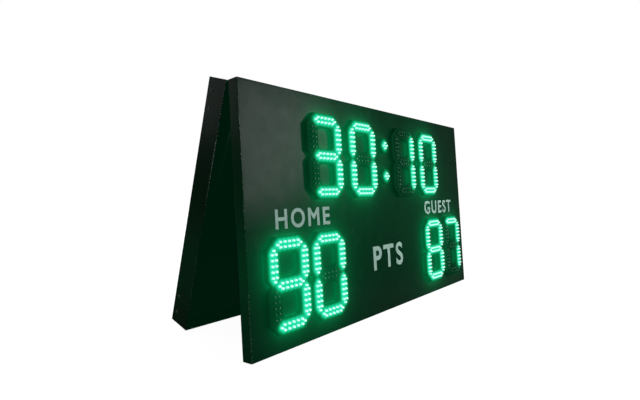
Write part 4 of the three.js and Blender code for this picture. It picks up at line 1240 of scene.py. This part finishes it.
class MakeSockets(bpy.types.Operator):
    """Make the dish in the far cabinet's end with its power inlet and its rocker switch"""
    bl_idname = "scoreboard.make_sockets"
    bl_label = "Sockets"

    # Depth of the bezels' fronts in the dish, and the levels of the inlet and the switch in it
    front = 0.0197
    inlet, toggle = 0.02, -0.025

    def execute(self, context):
        end = context.scene.board_cabinet.width / 2
        place = REAR @ shift(-end, DISH.x, DISH.y) @ spin(-90, "Z")
        plastic = ["black_plastic"]
        self.make_dish(place)
        half_x, low, high, slant = 0.008, -0.011, 0.011, 0.0035
        socket = [
            (-half_x, low), (half_x, low), (half_x, high - slant), (half_x - slant, high),
            (slant - half_x, high), (-half_x, high - slant)]
        bm = self.frame_with_well((0.012, 0.0155), (0.0097, 0.0132), socket, 0.015, 0.042)
        seat = place @ shift(0, self.front, self.inlet)
        make_piece(bm, "power_inlet_moulded", "rear_board", plastic, ["power_inlet"], seat)
        bm = bmesh.new()
        for x, z in ((0.0025, 0.0045), (0.0025, -0.0045), (-0.0025, 0.0)):
            join(bm, rounded_box((x - 0.002, 0.006, z - 0.001), (x + 0.002, 0.0152, z + 0.001), 0.0004))
        make_piece(bm, "power_inlet_blades", "rear_board", ["zinc"], (), seat)
        well = [(-0.005, -0.0081), (0.005, -0.0081), (0.005, 0.0081), (-0.005, 0.0081)]
        bm = self.frame_with_well((0.0076, 0.0107), (0.0062, 0.0093), well, 0.012, 0.038)
        seat = place @ shift(0, self.front, self.toggle)
        make_piece(bm, "switch_frame_moulded", "rear_board", plastic, ["switch_frame"], seat)
        seat = seat @ shift(0, 0.0045, 0) @ spin(7, "X")
        kinds = [*plastic, "ink"]
        make_piece(self.rocker(), "switch_rocker_moulded", "switch", kinds, ["switch_rocker"], seat)
        return {"FINISHED"}

    def make_dish(self, place):
        """The tub's inner skin with its floor openings and its rim, given its wall by a modifier."""
        half_x, half_z = DISH_HALF
        deep, mouth_y, rim_width = 0.022, 0.0013, 0.004
        inlet_hole = rounded_rectangle(0.01, 0.0135, 0.001, self.inlet)
        switch_hole = rounded_rectangle(0.0065, 0.0096, 0.001, self.toggle)
        bm = bmesh.new()
        rim = fill_rings(bm, (rounded_rectangle(half_x, half_z, 0.003), inlet_hole, switch_hole), deep)
        _, mouth = pull_edges(bm, rim, (0, mouth_y - deep, 0))
        outside, _ = pull_edges(bm, mouth)
        for vert in outside:
            vert.co.x *= 1 + rim_width / half_x
            vert.co.z *= 1 + rim_width / half_z
        bmesh.ops.recalc_face_normals(bm, faces=bm.faces)
        face_forward(bm, lambda f: f.calc_center_median().y)
        round_edges(bm, [e for e in sharp_edges(bm, 60.0) if e.verts[0].co.y > deep - 0.0005], 0.001, 2)
        dish = make_piece(
            bm, "connector_dish_pressed", "rear_board", ["bare_paint"], ["connector_dish"], place)
        thicken(dish, 0.0014)

    def frame_with_well(self, bezel, casing, opening, depth, back):
        """A bezel round a well, and the casing behind it, from y = 0 inwards."""
        rim = 0.002
        bottom = back - self.front
        bm = bmesh.new()
        join(bm, plate(rounded_rectangle(*bezel, 0.0012), rim, [opening], 0.0004), shift(0, rim, 0))
        join(bm, plate(rounded_rectangle(*casing, 0.0008), depth, [opening]), shift(0, depth, 0))
        rest = plate(rounded_rectangle(*casing, 0.0008), bottom - depth, radius=0.0004)
        join(bm, rest, shift(0, bottom, 0))
        return bm

    def rocker(self):
        """The rocker on its axle, with a bar and a ring printed on its two ends."""
        outline = [
            (-0.0052, -0.007), (-0.001, -0.007), (0.0025, -0.0045), (0.0025, 0.0045), (-0.001, 0.007),
            (-0.0052, 0.007), (-0.0046, 0.0035), (-0.0036, 0.0), (-0.0046, -0.0035)]
        half, thin, face = 0.0045, 0.0001, -0.00486
        bm = bmesh.new()
        join(bm, plate(outline, 2 * half, radius=0.0004), shift(-half, 0, 0) @ spin(90, "Z"))
        axle = turned([(0, -0.0057), (0.0012, -0.0057), (0.0012, 0.0057), (0, 0.0057)], 12)
        join(bm, axle, spin(-90, "Z"))
        slope = math.degrees(math.atan2(0.0006, 0.0035))
        bar = plate(rounded_rectangle(0.00035, 0.0015, 0.0002, steps=2), thin)
        join(bm, bar, shift(0, face, 0.005) @ spin(slope, "X"), 1)
        ring = plate(arc(0, 0, 0.0013, 0, 345, 23), thin, [arc(0, 0, 0.0008, 0, 345, 23)])
        join(bm, ring, shift(0, face, -0.005) @ spin(-slope, "X"), 1)
        return bm


class MakeLettering(bpy.types.Operator):
    """Print the words on both faces"""
    bl_idname = "scoreboard.make_lettering"
    bl_label = "Lettering"

    def execute(self, context):
        words = context.scene.board_lettering
        # word, middle of the word across, level of its foot and its height
        lines = {
            "left": (words.left, -0.3640, TOP - 0.329, 0.046),
            "right": (words.right, 0.360, TOP - 0.329, 0.046),
            "middle": (words.middle, 0.004, TOP - 0.476, 0.070),
        }
        for side in CABINETS:
            for place, (text, middle, foot, height) in lines.items():
                bm = self.word_mesh(text, words.spacing, height)
                bmesh.ops.translate(bm, verts=bm.verts, vec=(middle, INNER - depth_of(side), foot))
                cabinet_piece(bm, side, f"{side}_word_{place}", ["ink"])
        return {"FINISHED"}

    def word_mesh(self, text, spacing, height):
        """The word standing in X and Z, centred across, its foot at the origin."""
        curve = bpy.data.curves.new("word", "FONT")
        curve.body = text
        curve.size = 1.0
        curve.space_character = spacing
        curve.resolution_u = 6
        bm = from_curve(curve, 1e-4)
        self.embolden(bm, 0.024)
        across = [v.co.x for v in bm.verts]
        up = [v.co.y for v in bm.verts]
        middle, foot = (min(across) + max(across)) / 2, min(up)
        scale = height / (max(up) - foot)
        for vert in bm.verts:
            vert.co = Vector(((vert.co.x - middle) * scale, -0.00012, (vert.co.y - foot) * scale))
        pull_faces(bm, bm.faces[:], (0, CLEAR, 0))
        bmesh.ops.recalc_face_normals(bm, faces=bm.faces)
        return bm

    def embolden(self, bm, amount):
        """Moves the outlines of flat letters outwards, their corners kept sharp."""
        moves = {}
        for vert in bm.verts:
            outwards = []
            for edge in vert.link_edges:
                if edge.is_boundary:
                    along = edge.verts[1].co - edge.verts[0].co
                    across = Vector((along.y, -along.x, 0)).normalized()
                    inner = edge.link_faces[0].calc_center_median() - edge.verts[0].co
                    outwards.append(-across if across.dot(inner) > 0 else across)
            if len(outwards) == 2:
                share = max(0.3, 1 + outwards[0].dot(outwards[1]))
                moves[vert] = (outwards[0] + outwards[1]) * (amount / share)
        for vert, move in moves.items():
            vert.co += move


class FinishFrameNodes(bpy.types.Operator):
    """Give every piece that stays from the frame its own finish"""
    bl_idname = "scoreboard.finish_frame"
    bl_label = "Frame finishes"

    def execute(self, context):
        kinds = {slot: kind for kind, slot in SLOTS.items()}
        slots = {part["node"]: part["material_slot"] for part in frame["record"]["subparts"]}
        for name, node in frame["nodes"].items():
            material = finish_of(kinds[slots[name]])
            node.data.materials.clear()
            node.data.materials.append(material)
        return {"FINISHED"}


class MakeStudio(bpy.types.Operator):
    """Make the floor, the lights, the backdrop and the camera"""
    bl_idname = "scoreboard.make_studio"
    bl_label = "Studio"

    def execute(self, context):
        studio = context.scene.board_studio
        self.make_floor(context, studio.floor)
        self.make_backdrop(context)
        self.make_light(context, "key_light", (0.44, -1.12, 0.88), (-0.50, -0.08, 0.45), 0.75, studio.key)
        self.make_light(context, "fill_light", (-1.75, 1.75, 1.15), (-0.5, 0.1, 0.45), 1.3, studio.fill)
        self.make_light(context, "back_light", (0.95, 1.75, 0.95), (0.0, 0.15, 0.35), 1.0, studio.back)
        self.make_camera(context)
        return {"FINISHED"}

    def make_floor(self, context, colour):
        bm = bmesh.new()
        bmesh.ops.create_grid(bm, x_segments=2, y_segments=2, size=9.0)
        floor = bpy.data.objects.new("floor", as_mesh(bm, "floor"))
        context.scene.collection.objects.link(floor)
        material, tree, shader, _ = start_material("studio_floor", 0.9, specular=0.1)
        feed(tree, shader.inputs["Base Color"], colour)
        feed(tree, shader.inputs["Emission Color"], (1.0, 1.0, 1.0))
        share = calculate(tree, "MULTIPLY", self.seen_directly(tree), 0.97)
        feed(tree, shader.inputs["Emission Strength"], share)
        floor.data.materials.append(material)

    def seen_directly(self, tree):
        """One for the camera and for views through glass, a part of that in reflections, else nought."""
        path = shader_node(tree, "ShaderNodeLightPath").outputs
        total = calculate(tree, "MULTIPLY", path["Is Glossy Ray"], 0.08)
        for name in ("Is Camera Ray", "Is Transmission Ray"):
            total = calculate(tree, "MAXIMUM", total, path[name])
        return total

    def make_backdrop(self, context):
        world = bpy.data.worlds.new("studio_backdrop")
        context.scene.world = world
        world.use_nodes = True
        tree = world.node_tree
        light = tree.nodes["Background"].inputs
        feed(tree, light["Color"], (1.0, 1.0, 1.0))
        feed(tree, light["Strength"], remap(tree, self.seen_directly(tree), to_ends=(0.10, 1.0)))

    def make_light(self, context, name, place, target, size, power):
        data = bpy.data.lights.new(name, "AREA")
        data.shape = "DISK"
        data.size = size
        data.energy = power
        data.color = (0.95, 0.99, 1.0)
        lamp = bpy.data.objects.new(name, data)
        lamp.location = place
        lamp.rotation_mode = "QUATERNION"
        lamp.rotation_quaternion = (Vector(target) - Vector(place)).to_track_quat("-Z", "Y")
        context.scene.collection.objects.link(lamp)

    def make_camera(self, context):
        data = bpy.data.cameras.new("studio_camera")
        data.sensor_width = 36.0
        data.lens = FOCAL_LENGTH * data.sensor_width / PICTURE_WIDTH
        data.shift_x = (PICTURE_WIDTH / 2 - AXIS_X) / PICTURE_WIDTH
        data.shift_y = (AXIS_Y - PICTURE_HEIGHT / 2) / PICTURE_WIDTH
        turns = ((PAN, "Z"), (TILT, "X"), (ROLL, "Y"))
        pan, tilt, roll = (Matrix.Rotation(angle, 3, axis) for angle, axis in turns)
        right, forward, up = (pan @ tilt @ roll).transposed()
        camera = bpy.data.objects.new("studio_camera", data)
        context.scene.collection.objects.link(camera)
        camera.matrix_world = shift(*CAMERA) @ Matrix((right, up, -forward)).transposed().to_4x4()
        context.scene.camera = camera
        context.scene.view_settings.view_transform = "Standard"


class ScoreboardPanel(bpy.types.Panel):
    bl_label = "Scoreboard"
    bl_idname = "VIEW3D_PT_scoreboard"
    bl_space_type = "VIEW_3D"
    bl_region_type = "UI"
    bl_category = "Scoreboard"

    def draw(self, context):
        layout = self.layout
        for group in GROUPS:
            settings = getattr(context.scene, group)
            box = layout.box()
            for name in settings.__annotations__:
                box.prop(settings, name)
        for operator in OPERATORS:
            layout.operator(operator.bl_idname)


GROUPS = {
    "board_cabinet": CabinetSizes,
    "board_figures": FigureSizes,
    "board_hardware": HardwareSizes,
    "board_lettering": Lettering,
    "board_finishes": Finishes,
    "board_studio": Studio,
}
OPERATORS = (
    MakeStudio,
    MakeLead,
    FinishFrameNodes,
    MakeCabinets,
    MakeFigures,
    MakeLettering,
    MakeCovers,
    MakeHinges,
    MakeStays,
    MakeCornerBrackets,
    MakeSockets,
    MakeRubber,
)


def register():
    for cls in (*GROUPS.values(), *OPERATORS, ScoreboardPanel):
        bpy.utils.register_class(cls)
    for name, cls in GROUPS.items():
        setattr(bpy.types.Scene, name, PointerProperty(type=cls))


def unregister():
    for name in GROUPS:
        delattr(bpy.types.Scene, name)
    for cls in reversed((*GROUPS.values(), *OPERATORS, ScoreboardPanel)):
        bpy.utils.unregister_class(cls)


def main():
    register()
    bpy.ops.scoreboard.make_studio()
    bpy.ops.scoreboard.make_lead()
    bpy.ops.scoreboard.finish_frame()
    bpy.ops.scoreboard.make_cabinets()
    bpy.ops.scoreboard.make_figures()
    bpy.ops.scoreboard.make_lettering()
    bpy.ops.scoreboard.make_covers()
    bpy.ops.scoreboard.make_hinges()
    bpy.ops.scoreboard.make_stays()
    bpy.ops.scoreboard.make_corner_brackets()
    bpy.ops.scoreboard.make_sockets()
    bpy.ops.scoreboard.make_rubber()


if __name__ == "__main__":
    main()
